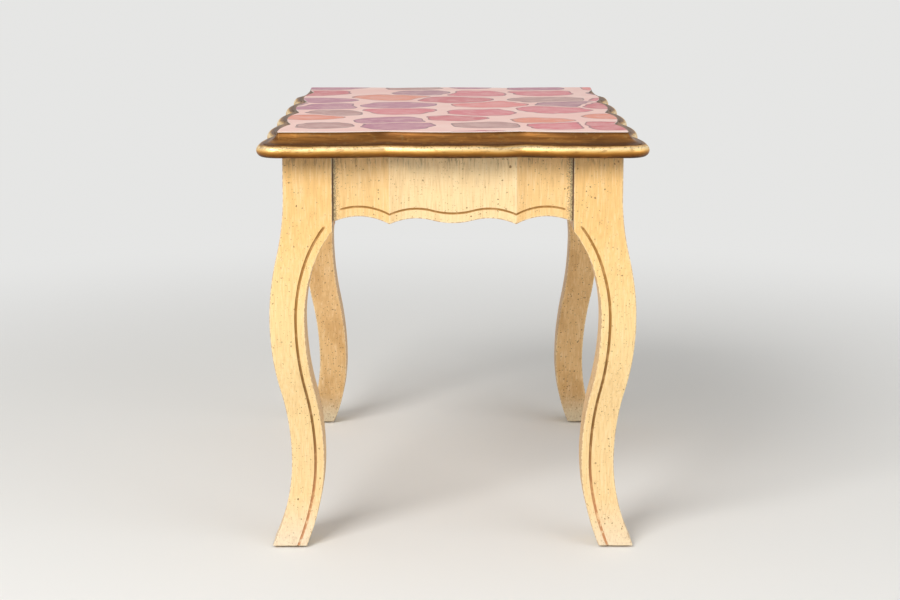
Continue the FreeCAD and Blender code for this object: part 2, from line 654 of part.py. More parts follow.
def corner_screws(prefix, play="0"):
    """One screw into each apron and one up into the top."""
    into_end = screw(prefix + "_into_end_apron", S("screw_length"), play)
    into_side = screw(prefix + "_into_side_apron", S("screw_length"), play)
    into_top = screw(prefix + "_into_top", S("top_screw_length"), play)
    along, head = "-" + W("screw_along"), "-" + W("screw_head_in")
    put(into_end, along, head, W("block_screw_z"), ALONG_Y)
    put(into_side, head, along, W("block_screw_z"), ALONG_X)
    put(into_top, "-" + W("top_screw_in"), "-" + W("top_screw_in"), W("block_z"))
    return [into_end, into_side, into_top]


def block_bores():
    """The screws' holes, and the wider holes that let two of them in through the slanted face."""
    bores = corner_screws("block_bore", S("screw_fit"))
    deep = S("block_reach")
    along, head = "-" + W("screw_along"), "-" + W("screw_head_in")
    for name, x, y, rotation in (("end", along, f"{head} - {deep}", ALONG_Y),
                                 ("side", f"{head} - {deep}", along, ALONG_X)):
        access = cylinder(f"block_{name}_counterbore", S("counterbore_radius"), deep)
        bores.append(put(access, x, y, W("block_screw_z"), rotation))
    return group("block_bores", bores)


# Top

DIPS = {"end": 2, "side": 4}
# the four sides in turn, counter-clockwise: kind, axis, way along it, and which side of the bench
TOP_SIDES = [
    ("end", "x", 1, -1),
    ("side", "y", 1, 1),
    ("end", "x", -1, 1),
    ("side", "y", -1, -1),
]


def lobed_row(kind, half, inset):
    """A side's lobes and hollows as arcs, each (place along the side, place across it, radius, turn)."""
    lobe, q = W(f"{kind}_lobe"), W(f"{kind}_q")
    edge = f"({half} - ({inset}))"
    hollow = f"({S('notch_radius')} + {inset})"
    swell = f"({q} - {hollow})"
    reach = f"{lobe} / 2 * {hollow} / {q}"
    level = f"({edge} - {swell} * {S(f'{kind}_notch_depth')} / {q})"
    cells = []
    for dip in range(DIPS[kind]):
        middle = dip - (DIPS[kind] - 1) / 2
        cells.append((f"({lobe} * {middle} - {reach})", level, swell, LEFT))
        cells.append((f"({lobe} * {middle} + {reach})", level, hollow, RIGHT))
    cells.append((f"({lobe} * {DIPS[kind] / 2})", edge, swell, LEFT))
    return cells


def top_outline(inset):
    """The top's edge in plan, from the middle of the front end round to it again.

    Lobes of one radius stand in a row along each side, with a small hollow between two of them.
    The inset draws the whole edge in, which tightens the lobes and opens the hollows."""
    half = {"end": f"{S('top_length')} / 2", "side": f"{S('top_width')} / 2"}
    corner = f"{S('corner_radius')} - ({inset})"
    steps = []
    for kind, axis, ahead, side in TOP_SIDES:
        across = half[kind]
        along = half["side" if kind == "end" else "end"]
        line = f"{SIGN[side]}({across} - ({inset}))"
        cells = lobed_row(kind, across, inset)
        if not steps:
            middle = DIPS[kind]
            swell = cells[middle][2]
            cells.insert(middle, ("0", f"({across} - ({inset}))", swell, LEFT))
        row = [(f"{SIGN[-ahead]}{cells[-1][0]}", line)]
        row += [(place if place == "0" else SIGN[ahead] + place, SIGN[side] + level, radius, turn)
                for place, level, radius, turn in cells]
        row.append((f"{SIGN[ahead]}({along} - {S('corner_radius')})", line))
        row.append((f"{SIGN[ahead]}({along} - ({inset}))",
                    f"{SIGN[side]}({across} - {S('corner_radius')})", corner, LEFT))
        if axis == "y":
            row = [(step[1], step[0], *step[2:]) for step in row]
        steps += row
    first = next(index for index, step in enumerate(steps) if step[0] == "0") + 1
    steps = steps[first:] + steps[:first]
    return steps[-1][:2], steps


def moulding_section(body):
    """What the moulding plane takes off the front edge, seen in section at x = 0."""
    def y(inwards):
        return f"-{S('top_length')} / 2 + {inwards}"
    face = f"{W('underside')} + {S('board_thickness')}"
    lip = f"{face} - {S('lip_height')}"
    quirk = f"{lip} - {S('cove_drop')}"
    nosing = f"{quirk} - {S('quirk_height')}"
    nose = f"{nosing} - {S('nosing_rise')}"
    lower = f"({nose} - {W('underside')})"
    upper_radius = f"({S('nosing_width')} ^ 2 + {S('nosing_rise')} ^ 2) / (2 * {S('nosing_width')})"
    lower_radius = f"({S('nosing_return')} ^ 2 + {lower} ^ 2) / (2 * {S('nosing_return')})"
    outside = y(f"(-{PAST})")
    return body_sketch(body, "moulding_section", "YZ_Plane", (y(W("moulding_width")), f"{face} + {PAST}"), [
        (y(W("moulding_width")), lip),
        (y(S("nosing_width")), quirk, S("cove_radius"), LEFT),
        (y(S("nosing_width")), nosing),
        (y("0"), nose, upper_radius, LEFT),
        (y(S("nosing_return")), W("underside"), lower_radius, LEFT),
        (y(S("nosing_return")), f"{W('underside')} - {PAST}"),
        (outside, f"{W('underside')} - {PAST}"),
        (outside, f"{face} + {PAST}"),
        (y(W("moulding_width")), f"{face} + {PAST}"),
    ])


def board_form():
    """A board cut to the lobed outline, with the moulding run all round its edge."""
    body = doc.addObject("PartDesign::Body", "board_blank")
    start, steps = top_outline("0")
    outline = body_sketch(body, "board_outline", "XY_Plane", start, steps, W("underside"))
    pad = body.newObject("PartDesign::Pad", "board_pad")
    pad.Profile = outline
    bind(pad, "Length", S("board_thickness"))
    section = moulding_section(body)
    doc.recompute()
    run = body.newObject("PartDesign::SubtractivePipe", "board_moulding")
    run.Profile = section
    run.Spine = (outline, [])
    run.Mode = "Binormal"
    run.Binormal = Vector(0, 0, 1)
    return body


def board_bores():
    bores = []
    for corner, right, rear, _ in BENCH_CORNERS:
        bore = screw(f"board_{corner}_bore", S("top_screw_length"), S("screw_fit"))
        x = f"{SIGN[right]}({W('post_x')} - {W('top_screw_in')})"
        y = f"{SIGN[rear]}({W('post_y')} - {W('top_screw_in')})"
        bores.append(put(bore, x, y, W("block_z")))
    return group("board_bores", bores)


def printed_sheet():
    body = doc.addObject("PartDesign::Body", "printed_top_sheet")
    start, steps = top_outline(f"{W('moulding_width')} + {S('sheet_margin')}")
    outline = body_sketch(body, "sheet_outline", "XY_Plane", start, steps,
                          f"{W('underside')} + {S('board_thickness')}")
    pad = body.newObject("PartDesign::Pad", "sheet_pad")
    pad.Profile = outline
    bind(pad, "Length", S("sheet_thickness"))
    return body


# Glide: a bevelled steel disc on a nail

def glide(name):
    rim = f"{S('glide_radius')} - {S('glide_edge')}"
    height = S("glide_height")
    nail_end = f"{height} + {S('nail_length')}"
    return turned(name, ("0", "0"), [
        (rim, "0"),
        (S("glide_radius"), S("glide_edge")),
        (S("glide_radius"), height),
        (S("nail_radius"), height),
        (S("nail_radius"), f"{nail_end} - 2 * {S('nail_radius')}"),
        ("0", nail_end),
        ("0", "0"),
    ])


# Assembly
nodes = {}


def keep(label, thing):
    thing.Label = label
    nodes[label] = thing
    return thing


one_leg = leg_form()
one_leg_bores = leg_bores()
one_block = block_form()
one_block_bores = block_bores()
one_screw_set = corner_screws("block_screw")
for corner, right, rear, angle in BENCH_CORNERS:
    leg = boolean("Part::Cut", f"{corner}_leg", one_leg, one_leg_bores)
    keep(f"{corner}_leg", at_corner(leg, right, rear, angle))
    block = boolean("Part::Cut", f"{corner}_block", one_block, one_block_bores)
    keep(f"{corner}_corner_block", at_corner(block, right, rear, angle))
    screws = group(f"{corner}_screws", one_screw_set)
    keep(f"{corner}_block_screws", at_corner(screws, right, rear, angle))
    x = f"{SIGN[right]}({W('post_x')} + {W('foot_middle')})"
    y = f"{SIGN[rear]}({W('post_y')} + {W('foot_middle')})"
    keep(f"{corner}_glide", put(glide(f"{corner}_glide_body"), x, y))

forms = {kind: (apron_form(kind), apron_bores(kind), apron_dowels(kind)) for kind in ("end", "side")}
for label, kind, right, rear, angle in APRONS:
    form, bores, dowels = forms[kind]
    keep(label, at_side(boolean("Part::Cut", f"{label}_cut", form, bores), right, rear, angle))
    keep(f"{label}_dowels", at_side(group(f"{label}_dowel_set", dowels), right, rear, angle))

keep("top_board", boolean("Part::Cut", "board_cut", board_form(), board_bores()))
keep("printed_top_sheet", printed_sheet())

doc.recompute()

faults = [thing.Name for thing in doc.Objects if {"Invalid", "Error"} & set(thing.State)]
faults += [label for label, thing in nodes.items() if thing.Shape.isNull() or not thing.Shape.isValid()]
if faults:
    raise RuntimeError("failed: " + ", ".join(faults))

os.makedirs("parts", exist_ok=True)
for label, thing in nodes.items():
    thing.Shape.exportStep(f"parts/{label}.step")
    print(label, len(thing.Shape.Solids), round(thing.Shape.Volume))
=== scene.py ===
"""Looks of a small French Provincial bench: a gilt, printed top on painted cabriole legs.

Everything is in metres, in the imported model's own frame: +Z up, ends facing -Y and +Y.
"""
import logging
import math
from dataclasses import dataclass
from enum import Enum
from typing import Callable, Iterable, Sequence

import bmesh
import bpy
import numpy as np
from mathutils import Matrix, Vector, noise


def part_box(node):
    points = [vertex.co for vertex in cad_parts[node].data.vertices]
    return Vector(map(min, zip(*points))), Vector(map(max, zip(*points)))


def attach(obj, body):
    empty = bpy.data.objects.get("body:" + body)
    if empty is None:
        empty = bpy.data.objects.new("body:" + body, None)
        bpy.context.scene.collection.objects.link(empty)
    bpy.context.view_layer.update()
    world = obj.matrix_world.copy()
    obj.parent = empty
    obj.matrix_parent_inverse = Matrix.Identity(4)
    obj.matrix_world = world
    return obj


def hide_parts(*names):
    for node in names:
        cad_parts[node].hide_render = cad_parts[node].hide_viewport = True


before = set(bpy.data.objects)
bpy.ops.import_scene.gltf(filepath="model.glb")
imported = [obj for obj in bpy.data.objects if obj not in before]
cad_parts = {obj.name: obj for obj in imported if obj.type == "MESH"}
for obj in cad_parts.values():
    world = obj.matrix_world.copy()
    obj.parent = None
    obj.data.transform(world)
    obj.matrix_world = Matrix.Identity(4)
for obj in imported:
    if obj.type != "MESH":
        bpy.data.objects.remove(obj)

LOG = logging.getLogger("bench")
ROOT = "root"

Color = tuple[float, float, float]
Socket = bpy.types.NodeSocket


def paint(red: int, green: int, blue: int) -> Color:
    """Turn a screen colour into the linear one that shaders use.

    Args:
        red, green, blue: the colour as 0 to 255.

    Returns:
        The linear colour.
    """
    def linear(level: float) -> float:
        """One channel."""
        return level / 12.92 if level <= 0.04045 else ((level + 0.055) / 1.055) ** 2.4
    return tuple(linear(level / 255) for level in (red, green, blue))


# Places that the sub-assemblies share

@dataclass(frozen=True)
class Carcass:
    """Where posts, aprons and top meet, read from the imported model."""

    underside: float
    face: float
    half_width: float
    half_length: float
    post_x: float
    post_y: float
    post_width: float
    foot: float

    @classmethod
    def from_frame(cls, overhang: float = 0.030) -> "Carcass":
        """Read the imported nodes.

        Args:
            overhang: how far the nosing stands beyond the posts' outer faces.

        Returns:
            The shared places.
        """
        board_low, board_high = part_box("top_board")
        apron_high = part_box("front_apron")[1]
        leg_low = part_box("front_left_leg")[0]
        post_x = board_high.x - overhang
        return cls(
            underside=board_low.z,
            face=board_high.z,
            half_width=board_high.x,
            half_length=board_high.y,
            post_x=post_x,
            post_y=board_high.y - overhang,
            post_width=post_x - apron_high.x,
            foot=leg_low.z,
        )


class Spot(Enum):
    """A place round the bench: its name, which way it lies in x and in y, and its quarter turns."""

    @property
    def label(self) -> str:
        """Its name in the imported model."""
        return self.value[0]

    @property
    def turns(self) -> int:
        """Quarter turns that bring the first such place here."""
        return self.value[3]

    def place(self, points: np.ndarray, carcass: Carcass) -> np.ndarray:
        """Move points here from the first such place.

        Args:
            points: rows of x, y, z about a corner, outwards as +x and +y, or about a side's
                middle, inwards as +y.
            carcass: where the posts stand.

        Returns:
            The rows in the bench's own frame.
        """
        _, right, rear, turns = self.value
        return quarter_turns(points, turns) + np.array([right * carcass.post_x, rear * carcass.post_y, 0.0])


class Corner(Spot):
    """The four corners."""

    REAR_RIGHT = ("rear_right", 1, 1, 0)
    REAR_LEFT = ("rear_left", -1, 1, 1)
    FRONT_LEFT = ("front_left", -1, -1, 2)
    FRONT_RIGHT = ("front_right", 1, -1, 3)


class Side(Spot):
    """The four sides."""

    FRONT = ("front", 0, -1, 0)
    RIGHT = ("right", 1, 0, 1)
    REAR = ("rear", 0, 1, 2)
    LEFT = ("left", -1, 0, 3)

    @property
    def is_end(self) -> bool:
        """True for the two short sides."""
        return self.value[1] == 0


def quarter_turns(points: np.ndarray, turns: int) -> np.ndarray:
    """Turn points about Z.

    Args:
        points: rows of x, y, z.
        turns: counter-clockwise quarter turns.

    Returns:
        The turned rows.
    """
    x, y, z = points.T
    for _ in range(turns):
        x, y = -y, x
    return np.stack([x, y, z], axis=1)


# Meshes

def mesh_piece(name: str, points: np.ndarray, faces: Iterable[Sequence[int]],
               masks: dict[str, Sequence[float]], sharp_angle: float = 40.0) -> bpy.types.Object:
    """Make one closed, smooth-shaded piece with its place in its mesh.

    Args:
        name: the piece's name.
        points: rows of x, y, z.
        faces: point numbers of each face.
        masks: a value from 0 to 1 for each point, by attribute name.
        sharp_angle: edges that turn by more degrees than this stay crisp.

    Returns:
        The new object.
    """
    mesh = bpy.data.meshes.new(name)
    mesh.from_pydata(points.tolist(), [], [list(face) for face in faces])
    for label, values in masks.items():
        layer = mesh.attributes.new(label, "FLOAT", "POINT")
        layer.data.foreach_set("value", np.asarray(values, np.float32))
    work = bmesh.new()
    work.from_mesh(mesh)
    bmesh.ops.remove_doubles(work, verts=work.verts, dist=1e-6)
    bmesh.ops.recalc_face_normals(work, faces=work.faces)
    work.to_mesh(mesh)
    work.free()
    mesh.shade_smooth()
    mesh.set_sharp_from_angle(angle=math.radians(sharp_angle))
    piece = bpy.data.objects.new(name, mesh)
    bpy.context.scene.collection.objects.link(piece)
    return piece


def split_rows(rows: Sequence[Sequence[float]], names: Sequence[str]) -> tuple[np.ndarray,
                                                                              dict[str, np.ndarray]]:
    """Part rows of x, y, z and mask values into places and named masks.

    Args:
        rows: one for each point.
        names: the masks, in the rows' order.

    Returns:
        The places, and each mask's values.
    """
    table = np.array(rows)
    return table[:, :3], dict(zip(names, table[:, 3:].T))


def loft_faces(rings: int, around: int) -> list[list[int]]:
    """Faces of a skin over closed rings of equal length, with both ends capped.

    Args:
        rings: how many rings.
        around: points in a ring.

    Returns:
        The point numbers of each face.
    """
    faces = []
    for ring in range(rings - 1):
        low, high = ring * around, (ring + 1) * around
        for spot in range(around):
            after = (spot + 1) % around
            faces.append([low + spot, low + after, high + after, high + spot])
    faces.append(list(range(around))[::-1])
    faces.append([(rings - 1) * around + spot for spot in range(around)])
    return faces


def spaced(first: float, marks: Iterable[float], apart: float) -> list[float]:
    """Marks in rising order, without those that crowd the one before.

    Args:
        first: where the list starts.
        marks: the rest, in any order.
        apart: the least distance between two.

    Returns:
        The marks that stay.
    """
    kept = [first]
    for mark in sorted(marks):
        if mark - kept[-1] > apart:
            kept.append(mark)
    return kept


def roughen(points: np.ndarray, outward: np.ndarray, scale: float, depth: float,
            seed: float) -> np.ndarray:
    """Shift points in and out a little, as hand-sanded and hand-painted wood is.

    Args:
        points: rows of x, y, z.
        outward: the direction away from the wood at each point.
        scale: waves per metre.
        depth: the largest shift.
        seed: moves the pattern.

    Returns:
        The shifted rows.
    """
    offset = Vector((seed, -seed, 2 * seed))
    waves = np.array([noise.noise(Vector(point) * scale + offset) for point in points])
    return points + outward * (waves * depth)[:, None]


def finish_piece(piece: bpy.types.Object, material: bpy.types.Material,
                 replaced: Sequence[str]) -> bpy.types.Object:
    """Dress a piece and hand it to the frame.

    Args:
        piece: the object.
        material: its finish.
        replaced: CAD nodes that the piece stands for.

    Returns:
        The same object.
    """
    if not piece.data.materials:
        piece.data.materials.append(material)
    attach(piece, ROOT)
    if replaced:
        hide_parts(*replaced)
    LOG.info("%s: %d faces", piece.name, len(piece.data.polygons))
    return piece


# Shader graphs

class Graph:
    """Adds nodes to one shader tree and joins them."""

    def __init__(self, tree: bpy.types.NodeTree) -> None:
        """Start on an empty tree."""
        self.tree = tree
        tree.nodes.clear()

    def add(self, kind: str, inputs: dict[str | int, object] | None = None,
            **settings: object) -> bpy.types.Node:
        """Add a node.

        Args:
            kind: the node's type.
            inputs: a socket to join or a value to set, by the input's name or number.
            settings: properties of the node.

        Returns:
            The node.
        """
        node = self.tree.nodes.new(kind)
        for label, value in settings.items():
            setattr(node, label, value)
        for label, value in (inputs or {}).items():
            self.feed(node.inputs[label], value)
        return node

    def feed(self, target: Socket, value: object) -> None:
        """Join a socket to the target, or set the target's own value."""
        if isinstance(value, bpy.types.NodeSocket):
            self.tree.links.new(value, target)
        elif isinstance(value, tuple) and target.type == "RGBA":
            target.default_value = (*value[:3], 1.0)
        else:
            target.default_value = value

    def math(self, operation: str, a: object, b: object = 0.0, clamp: bool = False) -> Socket:
        """One Math node."""
        return self.add("ShaderNodeMath", {0: a, 1: b}, operation=operation, use_clamp=clamp).outputs[0]

    def times(self, a: object, b: object, clamp: bool = False) -> Socket:
        """A product."""
        return self.math("MULTIPLY", a, b, clamp)

    def plus(self, a: object, b: object, clamp: bool = False) -> Socket:
        """A sum."""
        return self.math("ADD", a, b, clamp)

    def minus(self, a: object, b: object) -> Socket:
        """A difference."""
        return self.math("SUBTRACT", a, b)

    def blend(self, factor: object, a: object, b: object) -> Socket:
        """Mix two colours."""
        return self.add("ShaderNodeMix", {0: factor, 6: a, 7: b}, data_type="RGBA").outputs[2]

    def tint(self, color: object, over: object, *masks: object) -> Socket:
        """Lay one colour over another by the product of some masks."""
        factor = masks[0]
        for mask in masks[1:]:
            factor = self.times(factor, mask)
        return self.blend(factor, color, over)

    def between(self, value: object, low: float, high: float) -> Socket:
        """Map low to 0 and high to 1, smoothly and within those ends."""
        return self.add("ShaderNodeMapRange", {"Value": value, "From Min": low, "From Max": high},
                        interpolation_type="SMOOTHSTEP").outputs[0]

    def ramp(self, value: Socket, stops: Sequence[tuple[float, Color]], steps: bool = False) -> Socket:
        """Turn a value into a colour through named stops."""
        node = self.add("ShaderNodeValToRGB", {"Fac": value})
        node.color_ramp.interpolation = "CONSTANT" if steps else "LINEAR"
        elements = node.color_ramp.elements
        while len(elements) < len(stops):
            elements.new(0.5)
        for element, (place, color) in zip(elements, stops):
            element.position = place
            element.color = (*color, 1.0)
        return node.outputs["Color"]

    def noise(self, vector: Socket, scale: object, detail: float = 2.0, roughness: float = 0.5) -> Socket:
        """A noise value from about 0.3 to 0.7."""
        return self.add("ShaderNodeTexNoise", {"Vector": vector, "Scale": scale, "Detail": detail,
                                               "Roughness": roughness}).outputs["Fac"]

    def bend(self, vector: Socket, scale: float, reach: float) -> Socket:
        """Push a vector about by a noise, so that what is drawn on it isn't regular."""
        stir = self.add("ShaderNodeTexNoise", {"Vector": vector, "Scale": scale, "Detail": 1.0})
        shift = self.steer("SUBTRACT", {0: stir.outputs["Color"], 1: (0.5, 0.5, 0.5)})
        push = self.steer("SCALE", {0: shift, "Scale": reach})
        return self.steer("ADD", {0: vector, 1: push})

    def steer(self, operation: str, inputs: dict[str | int, object], output: str = "Vector") -> Socket:
        """One Vector Math node."""
        return self.add("ShaderNodeVectorMath", inputs, operation=operation).outputs[output]

    def stretch(self, vector: Socket, scale: tuple[float, float, float]) -> Socket:
        """Scale a vector's three parts."""
        return self.add("ShaderNodeMapping", {"Vector": vector, "Scale": scale}).outputs["Vector"]

    def mask(self, name: str) -> Socket:
        """Read a mask that the mesh carries."""
        return self.add("ShaderNodeAttribute", attribute_name=name).outputs["Fac"]

    def direction(self, name: str) -> Socket:
        """Read a vector that the mesh carries."""
        return self.add("ShaderNodeAttribute", attribute_name=name).outputs["Vector"]

    def place(self) -> Socket:
        """Object coordinates, in metres."""
        return self.add("ShaderNodeTexCoord").outputs["Object"]

    def parts(self, vector: Socket) -> tuple[Socket, Socket, Socket]:
        """A vector's three parts."""
        outputs = self.add("ShaderNodeSeparateXYZ", {0: vector}).outputs
        return outputs[0], outputs[1], outputs[2]

    def vector(self, x: object, y: object, z: object) -> Socket:
        """A vector from three parts."""
        return self.add("ShaderNodeCombineXYZ", {0: x, 1: y, 2: z}).outputs[0]

    def bump(self, height: Socket, distance: float, strength: float = 1.0) -> Socket:
        """A normal from a height of 0 to 1."""
        return self.add("ShaderNodeBump", {"Height": height, "Distance": distance,
                                           "Strength": strength}).outputs["Normal"]


class Effect:
    """A shader node group that several finishes share."""

    def __init__(self, name: str, inputs: Sequence[tuple[str, str]], outputs: Sequence[str],
                 build: Callable[[Graph, dict[str, Socket]], dict[str, Socket]]) -> None:
        """Build the group once.

        Args:
            name: the group's name.
            inputs: name and socket type of each input.
            outputs: name of each output, all of them values.
            build: makes the nodes from the inputs and returns a socket for each output.
        """
        self.tree = bpy.data.node_groups.new(name, "ShaderNodeTree")
        graph = Graph(self.tree)
        for label, kind in inputs:
            self.tree.interface.new_socket(label, in_out="INPUT", socket_type=kind)
        for label in outputs:
            self.tree.interface.new_socket(label, in_out="OUTPUT", socket_type=FLOAT)
        entry = graph.add("NodeGroupInput")
        graph.add("NodeGroupOutput", build(graph, {label: entry.outputs[label] for label, _ in inputs}))

    def use(self, graph: Graph, **inputs: object) -> dict[str, Socket]:
        """Place the group in a material.

        Args:
            graph: the material's graph.
            inputs: a socket or a value for each input, with underscores for spaces.

        Returns:
            The outputs by name.
        """
        node = graph.add("ShaderNodeGroup", node_tree=self.tree)
        for label, value in inputs.items():
            graph.feed(node.inputs[label.replace("_", " ")], value)
        return {socket.name: socket for socket in node.outputs}


FLOAT, VECTOR = "NodeSocketFloat", "NodeSocketVector"


class Effects:
    """The effects, each built once."""

    def __init__(self) -> None:
        """Build them all."""
        self.streaks = Effect("brush_streaks", [("Vector", VECTOR), ("Fineness", FLOAT)],
                              ["Streaks", "Hairs"], self._streaks)
        self.specks = Effect("specks", [("Vector", VECTOR), ("Spacing", FLOAT), ("Size", FLOAT),
                                        ("Share", FLOAT)], ["Mask"], self._specks)
        self.wear = Effect("edge_wear", [("Vector", VECTOR), ("Edge", FLOAT), ("Amount", FLOAT),
                                         ("Scale", FLOAT)], ["Mask"], self._wear)

    @staticmethod
    def _streaks(graph: Graph, given: dict[str, Socket]) -> dict[str, Socket]:
        """Long brush marks and finer hairs, along the vector's first part."""
        wide = graph.stretch(given["Vector"], (12.0, 150.0, 150.0))
        thin = graph.stretch(given["Vector"], (48.0, 560.0, 560.0))
        return {"Streaks": graph.noise(wide, given["Fineness"], 4.0),
                "Hairs": graph.noise(thin, given["Fineness"], 2.0)}

    @staticmethod
    def _specks(graph: Graph, given: dict[str, Socket]) -> dict[str, Socket]:
        """Round dots of uneven size: a share of the cells has one."""
        cells = graph.add("ShaderNodeTexVoronoi", {"Vector": given["Vector"], "Scale": given["Spacing"]})
        luck, grow, _ = graph.parts(cells.outputs["Color"])
        chosen = graph.math("LESS_THAN", luck, given["Share"])
        reach = graph.times(graph.math("MULTIPLY_ADD", grow, 0.8), given["Size"])  # 0.8 grow + 0.5
        reach = graph.plus(reach, graph.times(given["Size"], 0.35))
        gap = graph.math("DIVIDE", cells.outputs["Distance"], reach)
        dot = graph.minus(1.0, graph.between(gap, 0.7, 1.0))
        return {"Mask": graph.times(dot, chosen)}

    @staticmethod
    def _wear(graph: Graph, given: dict[str, Socket]) -> dict[str, Socket]:
        """Where a rubbed edge has lost its finish."""
        grain = graph.noise(given["Vector"], given["Scale"], 5.0, 0.65)
        level = graph.plus(grain, graph.times(given["Edge"], 0.35))
        floor = graph.minus(1.05, graph.times(given["Amount"], 0.4))
        return {"Mask": graph.times(graph.minus(level, floor), 14.0, clamp=True)}


def new_material(name: str) -> tuple[bpy.types.Material, Graph]:
    """An empty node material.

    Args:
        name: the material's name.

    Returns:
        The material and its graph.
    """
    material = bpy.data.materials.new(name)
    material.use_nodes = True
    return material, Graph(material.node_tree)


def shade(graph: Graph, **inputs: object) -> None:
    """Close a material with a Principled shader.

    Args:
        graph: the material's graph.
        inputs: sockets or values by the shader's input names, with underscores for spaces.
    """
    shader = graph.add("ShaderNodeBsdfPrincipled")
    for label, value in inputs.items():
        graph.feed(shader.inputs[label.replace("_", " ")], value)
    output = graph.add("ShaderNodeOutputMaterial")
    graph.feed(output.inputs["Surface"], shader.outputs[0])


# Finishes

@dataclass(frozen=True)
class PaintedWood:
    """Antiqued cream-yellow paint with brown glaze in the grooves and corners, and fly-specks. It also
    carries painted shade under the overhang, on the inner faces and beside the apron ridges, and edges that
    are paler partly from wear and partly as a painted highlight.
    """

    underside: float
    # crown: darker right under the top, partly painted shade from the overhang
    crown: Color = paint(222, 174, 108)
    post: Color = paint(245, 198, 126)
    knee: Color = paint(249, 214, 150)
    shin: Color = paint(246, 210, 151)
    foot: Color = paint(233, 214, 184)
    pale: Color = paint(255, 238, 200)
    rubbed: Color = paint(255, 230, 182)
    # tan: partly glaze, partly painted shade, on the inner faces and beside the apron ridges
    tan: Color = paint(222, 178, 118)
    glaze: Color = paint(166, 116, 42)
    deep_glaze: Color = paint(122, 84, 30)
    rubbed_glaze: Color = paint(200, 140, 92)
    # soot and painted shade: soot, and the darkening under the overhang
    soot: Color = paint(84, 60, 34)
    lichen: Color = paint(196, 190, 150)
    seam: Color = paint(82, 48, 16)
    speck: Color = paint(134, 92, 40)
    wood: Color = paint(188, 138, 82)
    patina: Color = paint(196, 146, 82)
    bleached: Color = paint(216, 200, 168)
    bleached_height: float = 0.055
    soot_drop: float = 0.030
    stroke_drop: float = 0.022
    rubbed_height: float = 0.16
    deep_height: float = 0.30
    speck_sizes: tuple[tuple[float, float, float, float], ...] = (
        (430.0, 0.20, 0.34, 0.62), (190.0, 0.15, 0.32, 0.80), (75.0, 0.090, 0.14, 1.0))

    def coat(self, graph: Graph, place: Socket, z: Socket) -> Socket:
        """The paint's colour: deeper near the top, partly as painted shade under the overhang; whiter at the
        foot; tan on the inner faces, partly glaze and partly painted shade.
        """
        drift = graph.times(graph.minus(graph.noise(place, 9.0, 3.0), 0.5), 0.06)
        height = graph.math("DIVIDE", graph.plus(z, drift), self.underside)
        ladder = graph.ramp(height, [
            (0.0, self.foot),
            (0.12, self.shin),
            (0.60, self.knee),
            (0.80, self.post),
            (0.93, self.post),
            (1.0, self.crown),
        ])
        ladder = graph.tint(ladder, self.rubbed, graph.mask("rubbed"), 0.75)
        # painted shade: a tan band just past each apron ridge
        ladder = graph.tint(ladder, self.tan, graph.mask("ridge_shade"), 0.34)
        # inner faces: tan with patina and a bleached foot, partly glaze and partly painted shade
        clouds = graph.noise(graph.stretch(place, (30.0, 30.0, 18.0)), 1.0, 5.0, 0.62)
        back = graph.tint(self.tan, self.patina, graph.between(clouds, 0.44, 0.62), 0.75)
        back = graph.blend(graph.between(z, self.bleached_height, 0.004), back, self.bleached)
        return graph.tint(ladder, back, graph.mask("inner"), 0.85)

    def brush(self, graph: Graph, marks: dict[str, Socket], cross: dict[str, Socket],
              color: Socket) -> Socket:
        """Fine brush marks: brown glaze caught between them and pale paint on top."""
        for name, weight in (("Hairs", 0.22), ("Streaks", 0.10)):
            color = graph.tint(color, self.wood, graph.between(marks[name], 0.50, 0.30), weight)
            color = graph.tint(color, self.pale, graph.between(marks[name], 0.52, 0.70), weight)
        return graph.tint(color, self.wood, graph.between(cross["Hairs"], 0.48, 0.32), 0.06)

    def dirt(self, graph: Graph, place: Socket, z: Socket, color: Socket) -> Socket:
        """Darker under the overhang, partly soot and partly painted shade; soot in short upright strokes
        there, and where an apron meets a post.
        """
        top = self.underside
        strokes = graph.noise(graph.stretch(place, (420.0, 420.0, 60.0)), 1.0, 4.0, 0.7)
        film_noise = graph.noise(place, 45.0, 4.0)
        # painted shade and soot: a darker film just under the top
        near = graph.between(z, top - self.soot_drop, top - 0.002)
        color = graph.tint(color, self.soot, near, graph.between(film_noise, 0.25, 0.75), 0.24)
        close = graph.between(z, top - self.stroke_drop, top - 0.004)
        color = graph.tint(color, self.soot, graph.between(strokes, 0.52, 0.64), close, 0.5)
        grime = graph.mask("grime")
        color = graph.tint(color, self.lichen, graph.between(grime, 0.55, 0.78), 0.5)
        crumbs = graph.plus(graph.noise(place, 900.0, 3.0, 0.7), graph.times(grime, 0.22))
        color = graph.tint(color, self.soot, graph.between(crumbs, 0.60, 0.72),
                           graph.between(grime, 0.0, 0.5), 0.75)
        return graph.blend(graph.between(grime, 0.84, 0.94), color, self.seam)

    def specks(self, graph: Graph, effects: Effects, place: Socket) -> Socket:
        """Fly-specks of three sizes in loose clusters, and denser ones on the inner faces."""
        bent = graph.bend(place, 500.0, 0.0022)
        cluster = graph.between(graph.noise(place, 28.0, 2.0), 0.38, 0.62)
        cluster = graph.plus(cluster, graph.mask("inner"), clamp=True)
        found = None
        for spacing, size, share, weight in self.speck_sizes:
            dots = effects.specks.use(graph, Vector=bent, Spacing=spacing, Size=size, Share=share)["Mask"]
            dots = graph.times(dots, weight)
            found = dots if found is None else graph.math("MAXIMUM", found, dots)
        found = graph.times(found, graph.math("MULTIPLY_ADD", cluster, 0.6))
        dense = effects.specks.use(graph, Vector=bent, Spacing=270.0, Size=0.19, Share=0.5)["Mask"]
        dense = graph.times(dense, graph.times(graph.mask("inner"), 0.65))
        return graph.math("MAXIMUM", found, dense)

